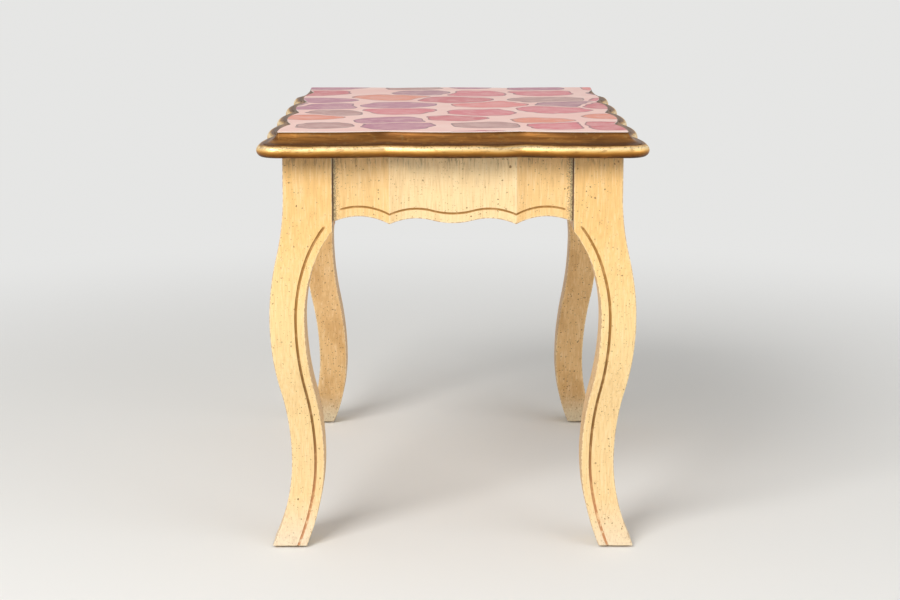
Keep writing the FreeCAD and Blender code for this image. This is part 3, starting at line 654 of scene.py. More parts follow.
    def build(self, effects: Effects) -> bpy.types.Material:
        """Make the material."""
        material, graph = new_material("painted_wood")
        place = graph.place()
        x, y, z = graph.parts(place)
        upright = graph.vector(z, x, y)
        level = graph.vector(graph.plus(x, y), z, graph.times(graph.minus(x, y), 0.02))
        marks = effects.streaks.use(graph, Vector=upright, Fineness=1.0)
        cross = effects.streaks.use(graph, Vector=level, Fineness=1.3)
        color = self.brush(graph, marks, cross, self.coat(graph, place, z))
        color = self.dirt(graph, place, z, color)
        color = graph.blend(self.specks(graph, effects, place), color, self.speck)

        broken = graph.between(graph.noise(place, 210.0, 4.0), 0.36, 0.52)
        broken = graph.plus(graph.minus(1.0, graph.between(z, 0.10, 0.01)), broken, clamp=True)
        patchy = graph.noise(place, 120.0, 3.0)
        line = graph.tint(self.glaze, self.deep_glaze, graph.between(z, self.deep_height, 0.20), 0.6)
        line = graph.blend(graph.between(z, self.rubbed_height, 0.03), line, self.rubbed_glaze)
        line = graph.tint(line, self.tan, graph.between(patchy, 0.5, 0.65), 0.35)
        color = graph.tint(color, line, graph.between(graph.mask("groove"), 0.15, 0.75), broken, 0.94)

        edge = graph.mask("arris")
        worn = effects.wear.use(graph, Vector=place, Edge=edge, Amount=0.62, Scale=240.0)["Mask"]
        # arrises and apron ridges turn pale: partly worn paint, partly a painted highlight
        color = graph.tint(color, self.pale, edge, 0.45)
        bare = graph.times(worn, graph.times(edge, 0.7))
        color = graph.blend(bare, color, self.wood)

        height = graph.plus(graph.times(marks["Streaks"], 0.4), graph.times(marks["Hairs"], 0.6))
        height = graph.minus(height, graph.times(bare, 0.5))
        rough = graph.plus(0.38, graph.times(marks["Streaks"], 0.25))
        shade(graph, Base_Color=color, Roughness=rough, Normal=graph.bump(height, 0.0003),
              Coat_Weight=0.1, Coat_Roughness=0.3)
        return material


@dataclass(frozen=True)
class GiltEdge:
    """Antique gold: a dark glazed hollow above a nosing with a painted highlight on its upper half and
    painted shade below.
    """

    underside: float
    face: float
    lip: float = 0.0015
    quirk_drop: float = 0.0131
    nosing_height: float = 0.0143
    bronze: Color = paint(124, 77, 28)
    amber: Color = paint(154, 103, 46)
    umber: Color = paint(78, 46, 14)
    olive: Color = paint(120, 96, 40)
    gold: Color = paint(196, 142, 70)
    sway_reach: float = 0.0042
    ragged_reach: float = 0.003
    dotted_drop: float = 0.0060

    def hollow(self, graph: Graph, z: Socket, marks: dict[str, Socket]) -> Socket:
        """The cove's brown glaze, darker at both rims."""
        low, high = self.face - self.quirk_drop, self.face - self.lip
        color = graph.blend(graph.between(marks["streaks"], 0.38, 0.62), self.bronze, self.amber)
        color = graph.tint(color, self.gold, graph.between(marks["mottle"], 0.54, 0.68), 0.35)
        color = graph.tint(color, self.umber, graph.between(marks["patches"], 0.50, 0.36), 0.45)
        rims = graph.math("MAXIMUM", graph.times(graph.between(z, high - 0.0016, high), 0.6),
                          graph.times(graph.between(z, low + 0.0030, low), 0.65))
        return graph.blend(rims, color, self.umber)

    def nosing(self, graph: Graph, z: Socket, marks: dict[str, Socket]) -> Socket:
        """The rounded edge's gold, with a painted highlight above its middle and painted shade below."""
        rise = graph.plus(graph.minus(z, self.underside), graph.times(marks["sway"], self.sway_reach))
        # painted shade at the nosing's underside, a painted highlight near its top
        color = graph.ramp(graph.math("DIVIDE", rise, self.nosing_height), [
            (0.0, paint(54, 30, 10)),
            (0.14, paint(98, 58, 16)),
            (0.34, paint(150, 96, 30)),
            (0.50, paint(214, 154, 74)),
            (0.64, paint(244, 202, 132)),
            (0.84, paint(255, 229, 180)),
            (0.95, paint(230, 180, 104)),
            (1.0, paint(136, 88, 34)),
        ])
        color = graph.tint(color, self.olive, graph.between(marks["patches"], 0.52, 0.70), 0.30)
        color = graph.tint(color, self.bronze, graph.between(marks["streaks"], 0.46, 0.32), 0.30)
        return graph.tint(color, self.amber, graph.between(marks["mottle"], 0.49, 0.34), 0.50)

    def build(self, effects: Effects) -> bpy.types.Material:
        """Make the material."""
        material, graph = new_material("gilt_edge")
        place = graph.place()
        _, _, z = graph.parts(place)
        run_x, run_y, _ = graph.parts(graph.direction("run"))
        around, along = graph.vector(run_x, run_y, z), graph.vector(run_x, run_y, 0.0)
        streaks = graph.noise(graph.stretch(around, (16.0, 16.0, 330.0)), 1.0, 4.0, 0.6)
        mottle = graph.noise(graph.stretch(around, (95.0, 95.0, 260.0)), 1.0, 4.0, 0.65)
        marks = {
            "streaks": streaks,
            "mottle": mottle,
            "patches": graph.noise(graph.stretch(around, (11.0, 11.0, 90.0)), 1.0, 3.0),
            "sway": graph.minus(graph.noise(graph.stretch(along, (26.0, 26.0, 1.0)), 1.0, 3.0), 0.5),
        }

        split = self.underside + self.nosing_height
        ragged = graph.plus(z, graph.times(graph.minus(streaks, 0.5), self.ragged_reach))
        above = graph.between(ragged, split - 0.0004, split + 0.0006)
        color = graph.blend(above, self.nosing(graph, z, marks), self.hollow(graph, z, marks))
        close = graph.times(graph.between(z, split - self.dotted_drop, split - 0.0005),
                            graph.between(z, split + 0.0045, split + 0.0010))
        dots = effects.specks.use(graph, Vector=place, Spacing=560.0, Size=0.34, Share=0.60)["Mask"]
        color = graph.tint(color, self.umber, close, dots, 0.7)
        worn = effects.wear.use(graph, Vector=place, Edge=above, Amount=0.3, Scale=130.0)["Mask"]
        color = graph.tint(color, self.olive, worn, 0.35)

        metal = graph.minus(0.75, graph.times(worn, 0.3))
        rough = graph.plus(0.34, graph.times(mottle, 0.2))
        height = graph.plus(graph.times(streaks, 0.5), graph.times(mottle, 0.5))
        shade(graph, Base_Color=color, Metallic=metal, Roughness=rough, Normal=graph.bump(height, 0.0008))
        return material


@dataclass(frozen=True)
class PrintedFace:
    """A high-gloss face printed with loose pebbles in rose, orange, plum and taupe, on a pale field tinted
    pink as a painted reflection.
    """

    # field colours: a pale field with a painted pink reflection
    field_color: Color = paint(251, 194, 182)
    light_field: Color = paint(255, 210, 198)
    edge_color: Color = paint(252, 240, 232)
    ink: Color = paint(88, 40, 38)
    blush: Color = paint(248, 206, 196)
    pitch: float = 11.4
    least_reach: float = 0.38
    more_reach: float = 0.20
    gap: float = 0.050
    softness: float = 0.20

    def pebble(self, graph: Graph, flat: Socket, luck: Socket, tone: Socket, depth: Socket) -> Socket:
        """A pebble's colours: a washed heart, faint rings and an inked rim.

        Args:
            graph: the material's graph.
            flat: the place on the sheet.
            luck: a value for each pebble, which picks its hue.
            tone: another, which picks how pale its heart is.
            depth: how far inside the pebble the place lies.

        Returns:
            The colour.
        """
        hue = graph.ramp(luck, [
            (0.0, paint(206, 44, 62)),
            (0.17, paint(232, 112, 62)),
            (0.30, paint(176, 74, 112)),
            (0.46, paint(218, 64, 84)),
            (0.60, paint(176, 112, 102)),
            (0.72, paint(232, 92, 88)),
            (0.86, paint(164, 78, 100)),
        ], steps=True)
        wash = graph.noise(flat, 55.0, 5.0, 0.6)
        rings = graph.math("SINE", graph.times(graph.plus(depth, graph.times(wash, 0.05)), 95.0))
        pale = graph.blend(0.32, hue, self.blush)
        color = graph.blend(graph.between(wash, 0.40, 0.68), hue, pale)
        color = graph.tint(color, hue, graph.between(rings, 0.2, 1.0), 0.25)
        color = graph.tint(color, pale, graph.between(depth, 0.12, 0.26), graph.between(tone, 0.3, 0.7), 0.45)
        return graph.tint(color, graph.blend(0.75, hue, self.ink), graph.between(depth, 0.024, -0.012), 0.9)

    def build(self) -> bpy.types.Material:
        """Make the material."""
        material, graph = new_material("printed_top")
        place = graph.place()
        x, y, _ = graph.parts(place)
        flat = graph.vector(x, y, 0.37)
        bent = graph.bend(graph.bend(flat, 12.0, 0.034), 34.0, 0.014)
        sites = {"Vector": graph.stretch(bent, (0.90, 1.0, 1.0)), "Scale": self.pitch, "Randomness": 0.62}
        cells, walls = (
            graph.add("ShaderNodeTexVoronoi", sites, feature=feature, voronoi_dimensions="2D").outputs
            for feature in ("F1", "DISTANCE_TO_EDGE"))
        luck, tone, size = graph.parts(cells["Color"])
        reach = graph.plus(self.least_reach, graph.times(size, self.more_reach))
        inside = graph.minus(reach, cells["Distance"])
        room = graph.minus(walls["Distance"], self.gap)
        depth = graph.add("ShaderNodeMath", {0: inside, 1: room, 2: self.softness},
                          operation="SMOOTH_MIN").outputs[0]

        blotch = graph.between(graph.noise(flat, 16.0, 3.0), 0.35, 0.7)
        # the field between pebbles, with its painted pink reflection
        paper_and_reflection = graph.blend(blotch, self.field_color, self.light_field)
        printed = self.pebble(graph, flat, luck, tone, depth)
        color = graph.blend(graph.between(depth, -0.022, -0.014), paper_and_reflection, printed)
        normal_z = graph.parts(graph.add("ShaderNodeNewGeometry").outputs["Normal"])[2]
        side = graph.between(graph.math("ABSOLUTE", normal_z), 0.7, 0.4)
        color = graph.blend(side, color, self.edge_color)
        ripple = graph.noise(place, 30.0, 2.0)
        shade(graph, Base_Color=color, Roughness=0.35, Specular_IOR_Level=0.15,
              Normal=graph.bump(ripple, 0.0002, 0.3), Coat_Weight=0.24, Coat_Roughness=0.03, Coat_IOR=1.45)
        return material


@dataclass(frozen=True)
class BareWood:
    """Unpainted poplar, sawn and left plain, for what lies behind the aprons."""

    light: Color = paint(214, 186, 144)
    dark: Color = paint(166, 128, 84)

    def build(self, effects: Effects) -> bpy.types.Material:
        """Make the material."""
        material, graph = new_material("bare_wood")
        place = graph.place()
        x, y, z = graph.parts(place)
        along = graph.vector(graph.plus(x, y), z, graph.minus(x, y))
        marks = effects.streaks.use(graph, Vector=along, Fineness=0.7)
        color = graph.blend(graph.between(marks["Streaks"], 0.36, 0.66), self.light, self.dark)
        color = graph.tint(color, self.dark, graph.between(marks["Hairs"], 0.55, 0.7), 0.35)
        dots = effects.specks.use(graph, Vector=place, Spacing=90.0, Size=0.1, Share=0.1)["Mask"]
        color = graph.tint(color, self.dark, dots, 0.5)
        shade(graph, Base_Color=color, Roughness=0.72, Normal=graph.bump(marks["Hairs"], 0.0004))
        return material


@dataclass(frozen=True)
class PlatedSteel:
    """Zinc-plated steel, dulled and freckled."""

    bright: Color = paint(178, 176, 170)
    dull: Color = paint(120, 108, 92)
    rust: Color = paint(104, 60, 34)

    def build(self, effects: Effects) -> bpy.types.Material:
        """Make the material."""
        material, graph = new_material("plated_steel")
        place = graph.place()
        clouds = graph.noise(place, 220.0, 5.0, 0.6)
        color = graph.blend(graph.between(clouds, 0.42, 0.62), self.bright, self.dull)
        dots = effects.specks.use(graph, Vector=place, Spacing=500.0, Size=0.3, Share=0.25)["Mask"]
        color = graph.tint(color, self.rust, dots, 0.6)
        rough = graph.plus(0.3, graph.times(clouds, 0.3))
        shade(graph, Base_Color=color, Metallic=1.0, Roughness=rough, Normal=graph.bump(clouds, 0.0001))
        return material


# Curves of the legs, and the grooves that legs and aprons share

def s_curve(z: float, low: tuple[float, float], high: tuple[float, float]) -> float:
    """An S of two equal arcs, upright at both ends.

    Args:
        z: the height asked for.
        low: the lower end's place and height.
        high: the upper end's place and height.

    Returns:
        The place at that height.
    """
    run, rise = high[0] - low[0], high[1] - low[1]
    radius = (rise ** 2 + run ** 2) / (4 * abs(run))
    way = math.copysign(1.0, run)
    if z < (low[1] + high[1]) / 2:
        return low[0] + way * (radius - math.sqrt(radius ** 2 - (z - low[1]) ** 2))
    return high[0] - way * (radius - math.sqrt(radius ** 2 - (high[1] - z) ** 2))


def flare(z: float, ankle: tuple[float, float], foot: tuple[float, float]) -> float:
    """One arc, upright at the ankle, that flares to the foot."""
    run, rise = foot[0] - ankle[0], ankle[1] - foot[1]
    radius = (rise ** 2 + run ** 2) / (2 * run)
    return ankle[0] + radius - math.sqrt(radius ** 2 - (ankle[1] - z) ** 2)


GROOVE_SECTION = ((0.0, 0.0), (0.16, 0.7), (0.32, 0.95), (0.5, 1.0), (0.68, 0.95), (0.84, 0.7), (1.0, 0.0))
LIP_GLAZE = 0.7


def glazed(sink: float, on_lip: bool, open_by: float) -> float:
    """How much glaze a point of a groove holds."""
    return max(sink, LIP_GLAZE if on_lip else 0.0) * open_by


@dataclass
class CabrioleLegs:
    """Four legs, each sawn to one S from two sides out of a square block.

    Places are measured outwards from the post's outer corner, along x and y alike.
    """

    carcass: Carcass
    bend_drop: float = 0.047
    corner_drop: float = 0.090
    knee_drop: float = 0.196
    knee_swell: float = 0.0168
    knee_width: float = 0.0419
    knee_inner_radius: float = 0.200
    knee_inner_rise: float = 0.062
    ankle_height: float = 0.104
    ankle_draw: float = 0.0055
    ankle_width: float = 0.0396
    foot_swell: float = 0.0176
    foot_width: float = 0.0418
    groove_inset: float = 0.0092
    groove_width: float = 0.0030
    groove_depth: float = 0.0015
    groove_fade: float = 0.004
    arris: float = 0.0011
    foot_round: float = 0.0010
    ring_step: float = 0.0024
    foot_step: float = 0.0011
    foot_zone: float = 0.02
    arris_steps: int = 4
    wave_scale: float = 42.0
    wave: float = 0.00016
    dent_scale: float = 190.0
    dent_floor: float = 0.12
    still_top: float = 0.003
    chip: float = 0.0018
    chip_height: float = 0.05

    def __post_init__(self) -> None:
        """Work out the heights and centres that the curves turn on."""
        top = self.carcass.underside
        self.bend_z = top - self.bend_drop
        self.corner_z = top - self.corner_drop
        self.knee_z = top - self.knee_drop
        self.post_in = -self.carcass.post_width
        self.knee_in = self.knee_swell - self.knee_width
        self.ankle_in = -self.ankle_draw - self.ankle_width
        self.foot_in = self.foot_swell - self.foot_width
        radius = self.knee_inner_radius
        self.hip_slope = (math.sqrt(radius ** 2 - self.knee_inner_rise ** 2) / radius,
                          self.knee_inner_rise / radius)
        self.knee_center = self.knee_in - radius
        hip = (self.knee_center + radius * self.hip_slope[0], self.knee_z + self.knee_inner_rise)
        run, rise = self.post_in - hip[0], self.corner_z - hip[1]
        reach = -run * self.hip_slope[0] - rise * self.hip_slope[1]
        self.haunch_radius = (run ** 2 + rise ** 2) / (2 * reach)
        self.haunch_center = (hip[0] - self.haunch_radius * self.hip_slope[0],
                              hip[1] - self.haunch_radius * self.hip_slope[1])
        self.hip_z = hip[1]

    def outer(self, z: float) -> float:
        """The outer edge's place at a height."""
        knee, ankle = (self.knee_swell, self.knee_z), (-self.ankle_draw, self.ankle_height)
        if z >= self.bend_z:
            return 0.0
        if z >= self.knee_z:
            return s_curve(z, knee, (0.0, self.bend_z))
        if z >= self.ankle_height:
            return s_curve(z, ankle, knee)
        return flare(z, ankle, (self.foot_swell, self.carcass.foot))

    def inner(self, z: float, gap: float = 0.0) -> float:
        """The inner edge's place at a height, or a line that keeps a gap outside it."""
        if gap == 0.0 and z >= self.corner_z:
            return self.post_in
        if z >= self.hip_z + gap * self.hip_slope[1]:
            top = self.groove_top(gap) if gap else self.corner_z
            drop = min(z, top) - self.haunch_center[1]
            return self.haunch_center[0] + math.sqrt((self.haunch_radius + gap) ** 2 - drop ** 2)
        if z >= self.knee_z:
            reach = self.knee_inner_radius + gap
            return self.knee_center + math.sqrt(reach ** 2 - (z - self.knee_z) ** 2)
        if z >= self.ankle_height:
            return gap + s_curve(z, (self.ankle_in, self.ankle_height), (self.knee_in, self.knee_z))
        return gap + flare(z, (self.ankle_in, self.ankle_height), (self.foot_in, self.carcass.foot))

    def groove_top(self, gap: float) -> float:
        """Where the groove ends, square to the haunch at the post's corner."""
        return self.corner_z + gap * (self.corner_z - self.haunch_center[1]) / self.haunch_radius

    def heights(self) -> list[float]:
        """Heights of the rings, closer together at the foot and at breaks."""
        foot, top = self.carcass.foot, self.carcass.underside
        levels = {foot, foot + self.foot_round * 0.3, foot + self.foot_round, top - 0.0006, top}
        step = foot + self.foot_round
        while step < top:
            levels.add(step)
            step += self.foot_step if step < foot + self.foot_zone else self.ring_step
        for level in (self.corner_z, self.groove_top(self.groove_inset)):
            levels |= {level - 0.0008, level - 0.0003, level, level + 0.0004}
        return spaced(foot, levels, 0.00015)

    def across(self, z: float) -> list[tuple[float, float, float, float]]:
        """Points across an outward face, from its inner end to its arris.

        Args:
            z: the height.

        Returns:
            Place, wear, sink into the groove and glaze of each.
        """
        near, far = self.inner(z, self.groove_inset), self.inner(z, self.groove_inset + self.groove_width)
        begin, end = self.inner(z) + self.arris, self.outer(z) - self.arris
        shoulder = self.groove_width * 0.18
        start = far + shoulder
        open_by = max(0.0, min(1.0, (self.groove_top(self.groove_inset) - z) / self.groove_fade)) ** 0.5
        found = [(begin, 0.3, 0.0, 0.0)]
        for place in (begin + 0.0012, (begin + near) / 2, near - shoulder):
            found.append((place, 0.0, 0.0, 0.0))
        for share, sink in GROOVE_SECTION:
            found.append((near + (far - near) * share, 0.0, sink * open_by,
                          glazed(sink, share in (0.0, 1.0), open_by)))
        for share in (0.0, 0.2, 0.4, 0.6, 0.8, 0.93):
            found.append((start + (end - start) * share, 0.0, 0.0, 0.0))
        found.append((end, 0.3, 0.0, 0.0))
        return found

    def ring(self, z: float) -> list[tuple[float, ...]]:
        """One level section, counter-clockwise from the inner end of the +x face.

        Args:
            z: its height.

        Returns:
            x, y, z and the masks of arris, groove, inner face and grime for each point.
        """
        out, inn = self.outer(z), self.inner(z)
        middle, low, high = (out + inn) / 2, inn + self.arris, out - self.arris
        joint = self.post_in + self.arris * 0.4
        fall = min(1.0, (z - self.carcass.foot) / self.foot_round)
        shrink = self.foot_round * (1 - math.sqrt(max(0.0, 1 - (1 - fall) ** 2)))
        rows = []

        def put(u: float, v: float, worn: float, filled: float = 0.0, behind: float = 0.0) -> None:
            """Add one point, drawn in where the foot is rounded."""
            u -= math.copysign(min(shrink, abs(u - middle)), u - middle)
            v -= math.copysign(min(shrink, abs(v - middle)), v - middle)
            beside = z > self.corner_z and min(u, v) < joint and max(u, v) > -self.groove_inset
            rows.append((u, v, z, max(worn, 1.0 - fall), filled, behind, float(beside)))

        def turn(center_u: float, center_v: float, quarter: int) -> None:
            """Add the points inside one rounded arris."""
            for step in range(1, self.arris_steps):
                angle = math.pi / 2 * (quarter + step / self.arris_steps)
                put(center_u + self.arris * math.cos(angle), center_v + self.arris * math.sin(angle), 1.0)

        face = self.across(z)
        for v, worn, sink, filled in face:
            put(out - self.groove_depth * sink, v, worn, filled)
        turn(high, high, 0)
        for u, worn, sink, filled in reversed(face):
            put(u, out - self.groove_depth * sink, worn, filled)
        turn(low, high, 1)
        plain = [(high + (low - high) * share, 0.3 if share in (0.0, 1.0) else 0.0)
                 for share in (0.0, 0.06, 0.35, 0.65, 0.94, 1.0)]
        for v, worn in plain:
            put(inn, v, worn, 0.0, 1.0)
        turn(low, low, 2)
        for u, worn in reversed(plain):
            put(u, inn, worn, 0.0, 1.0)
        turn(high, low, 3)
        return rows

    def dents(self, points: np.ndarray, seed: float) -> np.ndarray:
        """How deep chips and dents go at each point, were it on a worn edge by the floor."""
        offset = Vector((seed, 3.0, 1.0))
        found = [noise.noise(Vector(point) * self.dent_scale + offset) for point in points]
        reach = np.clip(1 - (points[:, 2] - self.carcass.foot) / self.chip_height, 0, 1)
        return np.maximum(0.0, np.array(found) - self.dent_floor) * self.chip * reach

    def build(self, corner: Corner, finish: bpy.types.Material) -> bpy.types.Object:
        """Make one leg.

        Args:
            corner: where it stands.
            finish: its paint.

        Returns:
            The piece.
        """
        levels = self.heights()
        flat, masks = split_rows([row for z in levels for row in self.ring(z)],
                                 ("arris", "groove", "inner", "grime"))
        around = len(flat) // len(levels)
        middle = np.array([[(self.outer(z) + self.inner(z)) / 2] * 2 + [z] for z in levels])
        outward = flat - middle.repeat(around, 0)
        outward /= np.linalg.norm(outward, axis=1)[:, None] + 1e-9
        shaken = roughen(flat, outward, self.wave_scale, self.wave, corner.turns + 0.7)
        shaken -= outward * (self.dents(flat, corner.turns * 5.0) * masks["arris"])[:, None]
        low, high = self.carcass.foot + self.foot_round, self.carcass.underside - self.still_top
        still = (flat[:, 2] < low) | (flat[:, 2] > high)
        flat = np.where(still[:, None], flat, shaken)
        flat[:, :2] = np.minimum(flat[:, :2], self.outer(self.carcass.foot))
        piece = mesh_piece(f"{corner.label}_leg_painted", corner.place(flat, self.carcass),
                           loft_faces(len(levels), around), masks, 60.0)
        return finish_piece(piece, finish, [f"{corner.label}_leg"])


@dataclass
class Aprons:
    """Four aprons, serpentine in plan and scalloped below, with a groove along the scallops."""

    carcass: Carcass
    thickness: float = 0.020
    setback: float = 0.003
    ridge_setback: float = 0.002
    end_depth: float = 0.0801
    cusp_depth: float = 0.0826
    scallop_length: float = 0.068
    scallop_rise: float = 0.0076
    scallop_hollow: float = 0.004
    end_dip_half: float = 0.024
    side_dip_half: float = 0.046
    dip_depth: float = 0.0784
    dip_sag: float = 0.003
    end_bow_half: float = 0.025
    side_bow_half: float = 0.050
    bow_rise: float = 0.0013
    groove_rise: float = 0.0106
    groove_width: float = 0.0023
    groove_depth: float = 0.0011
    groove_stop: float = 0.0085
    groove_fade: float = 0.003
    ridge_reach: float = 0.0014
    arris: float = 0.0009
    grime_reach: float = 0.012
    # how far the painted shade reaches past a ridge
    lee_reach: float = 0.022
    column_step: float = 0.0022
    wave_scale: float = 38.0
    wave: float = 0.00014

    def half(self, side: Side) -> float:
        """Half of an apron's length."""
        post = self.carcass.post_x if side.is_end else self.carcass.post_y
        return post - self.carcass.post_width

    def line(self, side: Side, x: float, middle: float, ends: tuple[float, float], hump: float,
             level: float, sag: float) -> float:
        """One line along an apron: an arch beside each post, two cusps, and a bow between them.

        Args:
            side: which apron.
            x: the place along it, from its middle.
            middle: half of the bow's length.
            ends: the line's values at a cusp and at a post.
            hump: how far an arch rises above its chord.
            level: the line's value where the bow ends.
            sag: how far the bow's middle lies below that.

        Returns:
            The line's value there.
        """
        cusp, at = self.half(side) - self.scallop_length, abs(x)
        tip, post = ends
        if at >= cusp:
            share = (at - cusp) / self.scallop_length
            return tip + (post - tip) * share + 4 * hump * share * (1 - share)
        if at >= middle:
            slope, run = 2 * sag / middle, cusp - middle
            bend = (tip - level - slope * run) / run ** 2
            return level + slope * (at - middle) + bend * (at - middle) ** 2
        return level - sag * (1 - (at / middle) ** 2)

    def face(self, side: Side, x: float) -> float:
        """How far the face lies behind the posts' faces."""
        middle = self.end_bow_half if side.is_end else self.side_bow_half
        return self.line(side, x, middle, (self.ridge_setback, self.setback), self.scallop_hollow,
                         self.setback + self.bow_rise, self.bow_rise)

    def edge(self, side: Side, x: float) -> float:
        """Height of the lower edge."""
        middle = self.end_dip_half if side.is_end else self.side_dip_half
        return self.carcass.underside + self.line(side, x, middle, (-self.cusp_depth, -self.end_depth),
                                                  self.scallop_rise, -self.dip_depth, self.dip_sag)

    def columns(self, side: Side) -> list[float]:
        """Stations along the apron, closer together at cusps and ends."""
        half = self.half(side)
        cusp = half - self.scallop_length
        count = math.ceil(2 * half / self.column_step)
        marks = {round(-half + 2 * half * step / count, 6) for step in range(count + 1)}
        for middle in (cusp, half - self.groove_stop):
            for offset in (-0.0012, -0.0006, -0.0002, 0.0, 0.0002, 0.0006, 0.0012):
                marks |= {round(middle + offset, 6), round(-middle - offset, 6)}
        marks |= {round(sign * (half - near), 6) for sign in (-1, 1) for near in (0.0005, 0.0010, 0.0016)}
        return spaced(-half, marks, 0.00012)

    def section(self, side: Side, x: float) -> list[tuple[float, float, float, float]]:
        """A closed upright section: (inwards, height, arris mask, groove mask) for each point."""
        face, low, top = self.face(side, x), self.edge(side, x), self.carcass.underside
        back = self.setback + self.thickness
        half = self.half(side)
        open_by = max(0.0, min(1.0, (half - self.groove_stop - abs(x)) / self.groove_fade)) ** 0.5
        ridge = max(0.0, 1 - abs(abs(x) - (half - self.scallop_length)) / self.ridge_reach)
        round_by = self.arris
        made = []
        for step in range(5):
            angle = math.pi / 2 * step / 4
            made.append((face + round_by * (1 - math.sin(angle)), low + round_by * (1 - math.cos(angle)),
                         1.0, 0.0))
        for rise in (0.0022, 0.0048, 0.0078):
            made.append((face, low + rise, 0.0, 0.0))
        shoulder = self.groove_width * 0.2
        made.append((face, low + self.groove_rise - shoulder, 0.0, 0.0))
        foot = low + self.groove_rise
        for share, sink in GROOVE_SECTION:
            made.append((face + self.groove_depth * sink * open_by, foot + self.groove_width * share, 0.0,
                         glazed(sink, share in (0.0, 1.0), open_by)))
        start = foot + self.groove_width + shoulder
        for share in (0.0, 0.08, 0.2, 0.34, 0.5, 0.66, 0.82, 0.94, 1.0):
            made.append((face, start + (top - start) * share, 0.0, 0.0))
        # the ridge joins the arris mask and turns pale: partly worn paint, partly a painted highlight
        made = [(inwards, z, max(worn, ridge * 0.8 * (1 - cut)), cut) for inwards, z, worn, cut in made]
        for share in (0.0, 0.25, 0.5, 0.75):
            made.append((back, top + (low + round_by - top) * share, 0.0, 0.0))
        made.append((back, low + round_by, 0.4, 0.0))
        made.append((back - round_by * 0.3, low + round_by * 0.3, 0.8, 0.0))
        made.append((back - round_by, low, 0.4, 0.0))
        made.append(((face + back) / 2, low, 0.0, 0.0))
        return made

    def build(self, side: Side, finish: bpy.types.Material) -> bpy.types.Object:
        """Make one apron.

        Args:
            side: where it goes.
            finish: its paint.

        Returns:
            The piece.
        """
        half = self.half(side)
        stations = self.columns(side)
        cusp = half - self.scallop_length
        rows = []
        for x in stations:
            dusty = max(0.0, 1 - (half - abs(x)) / self.grime_reach)
            rubbed = 0.8 if abs(x) < cusp else 0.2
            # painted shade in a band just past each ridge
            past = min((x - mark) % (2 * half) for mark in (-cusp, cusp))
            ridge_shade = max(0.0, 1 - past / self.lee_reach)
            for inwards, z, worn, cut in self.section(side, x):
                grime = dusty if inwards < self.thickness else 0.0
                rows.append((x, inwards, z, worn, cut, grime, rubbed, ridge_shade * (1 - worn)))
        flat, masks = split_rows(rows, ("arris", "groove", "grime", "rubbed", "ridge_shade"))
        outward = np.zeros_like(flat)
        outward[:, 1] = -1.0
        moved = roughen(flat, outward, self.wave_scale, self.wave, 4.0 + side.turns)
        front = (flat[:, 1] < self.thickness) & (flat[:, 2] < self.carcass.underside - 0.001)
        flat = np.where(front[:, None], moved, flat)
        piece = mesh_piece(f"{side.label}_apron_painted", side.place(flat, self.carcass),
                           loft_faces(len(stations), len(flat) // len(stations)), masks, 35.0)
        return finish_piece(piece, finish, [f"{side.label}_apron"])


# Geometry Nodes

class NodeRun:
    """A Geometry Nodes tree that is run on one object and turned into a plain mesh."""

    def __init__(self, name: str, inputs: Sequence[tuple[str, str]]) -> None:
        """Start a tree.

        Args:
            name: the tree's name.
            inputs: name and socket type of each input after the geometry.
        """
        self.tree = bpy.data.node_groups.new(name, "GeometryNodeTree")
        self.graph = Graph(self.tree)
        self.identifiers: dict[str, str] = {}
        self.tree.interface.new_socket("Geometry", in_out="INPUT", socket_type="NodeSocketGeometry")
        for label, kind in inputs:
            socket = self.tree.interface.new_socket(label, in_out="INPUT", socket_type=kind)
            self.identifiers[label] = socket.identifier
        self.tree.interface.new_socket("Geometry", in_out="OUTPUT", socket_type="NodeSocketGeometry")
        self.given = self.graph.add("NodeGroupInput").outputs

    def close(self, geometry: Socket) -> None:
        """End the tree in Realize Instances and Set Material."""
        real = self.graph.add("GeometryNodeRealizeInstances", {"Geometry": geometry}).outputs[0]
        dressed = self.graph.add("GeometryNodeSetMaterial", {"Geometry": real,
                                                             "Material": self.given["Material"]}).outputs[0]
        output = self.graph.add("NodeGroupOutput")
        self.graph.feed(output.inputs[0], dressed)

    def run(self, name: str, base: bpy.types.Mesh, values: dict[str, object],
            sharp_angle: float) -> bpy.types.Object:
        """Run the tree on a mesh.

        Args:
            name: the new piece's name.
            base: what the tree starts from.
            values: a value for each named input.
            sharp_angle: edges that turn by more degrees than this stay crisp.

        Returns:
            The piece, with a plain mesh and no modifier.
        """
        carrier = bpy.data.objects.new(name + "_run", base)
        bpy.context.scene.collection.objects.link(carrier)
        modifier = carrier.modifiers.new("run", "NODES")
        modifier.node_group = self.tree
        for label, value in values.items():
            modifier[self.identifiers[label]] = value
        bpy.context.view_layer.update()
        evaluated = carrier.evaluated_get(bpy.context.evaluated_depsgraph_get())
        mesh = bpy.data.meshes.new_from_object(evaluated)
        carrier.modifiers.remove(modifier)
        bpy.data.objects.remove(carrier)
        mesh.name = name
        mesh.shade_smooth()
        mesh.set_sharp_from_angle(angle=math.radians(sharp_angle))
        piece = bpy.data.objects.new(name, mesh)
        bpy.context.scene.collection.objects.link(piece)
        return piece


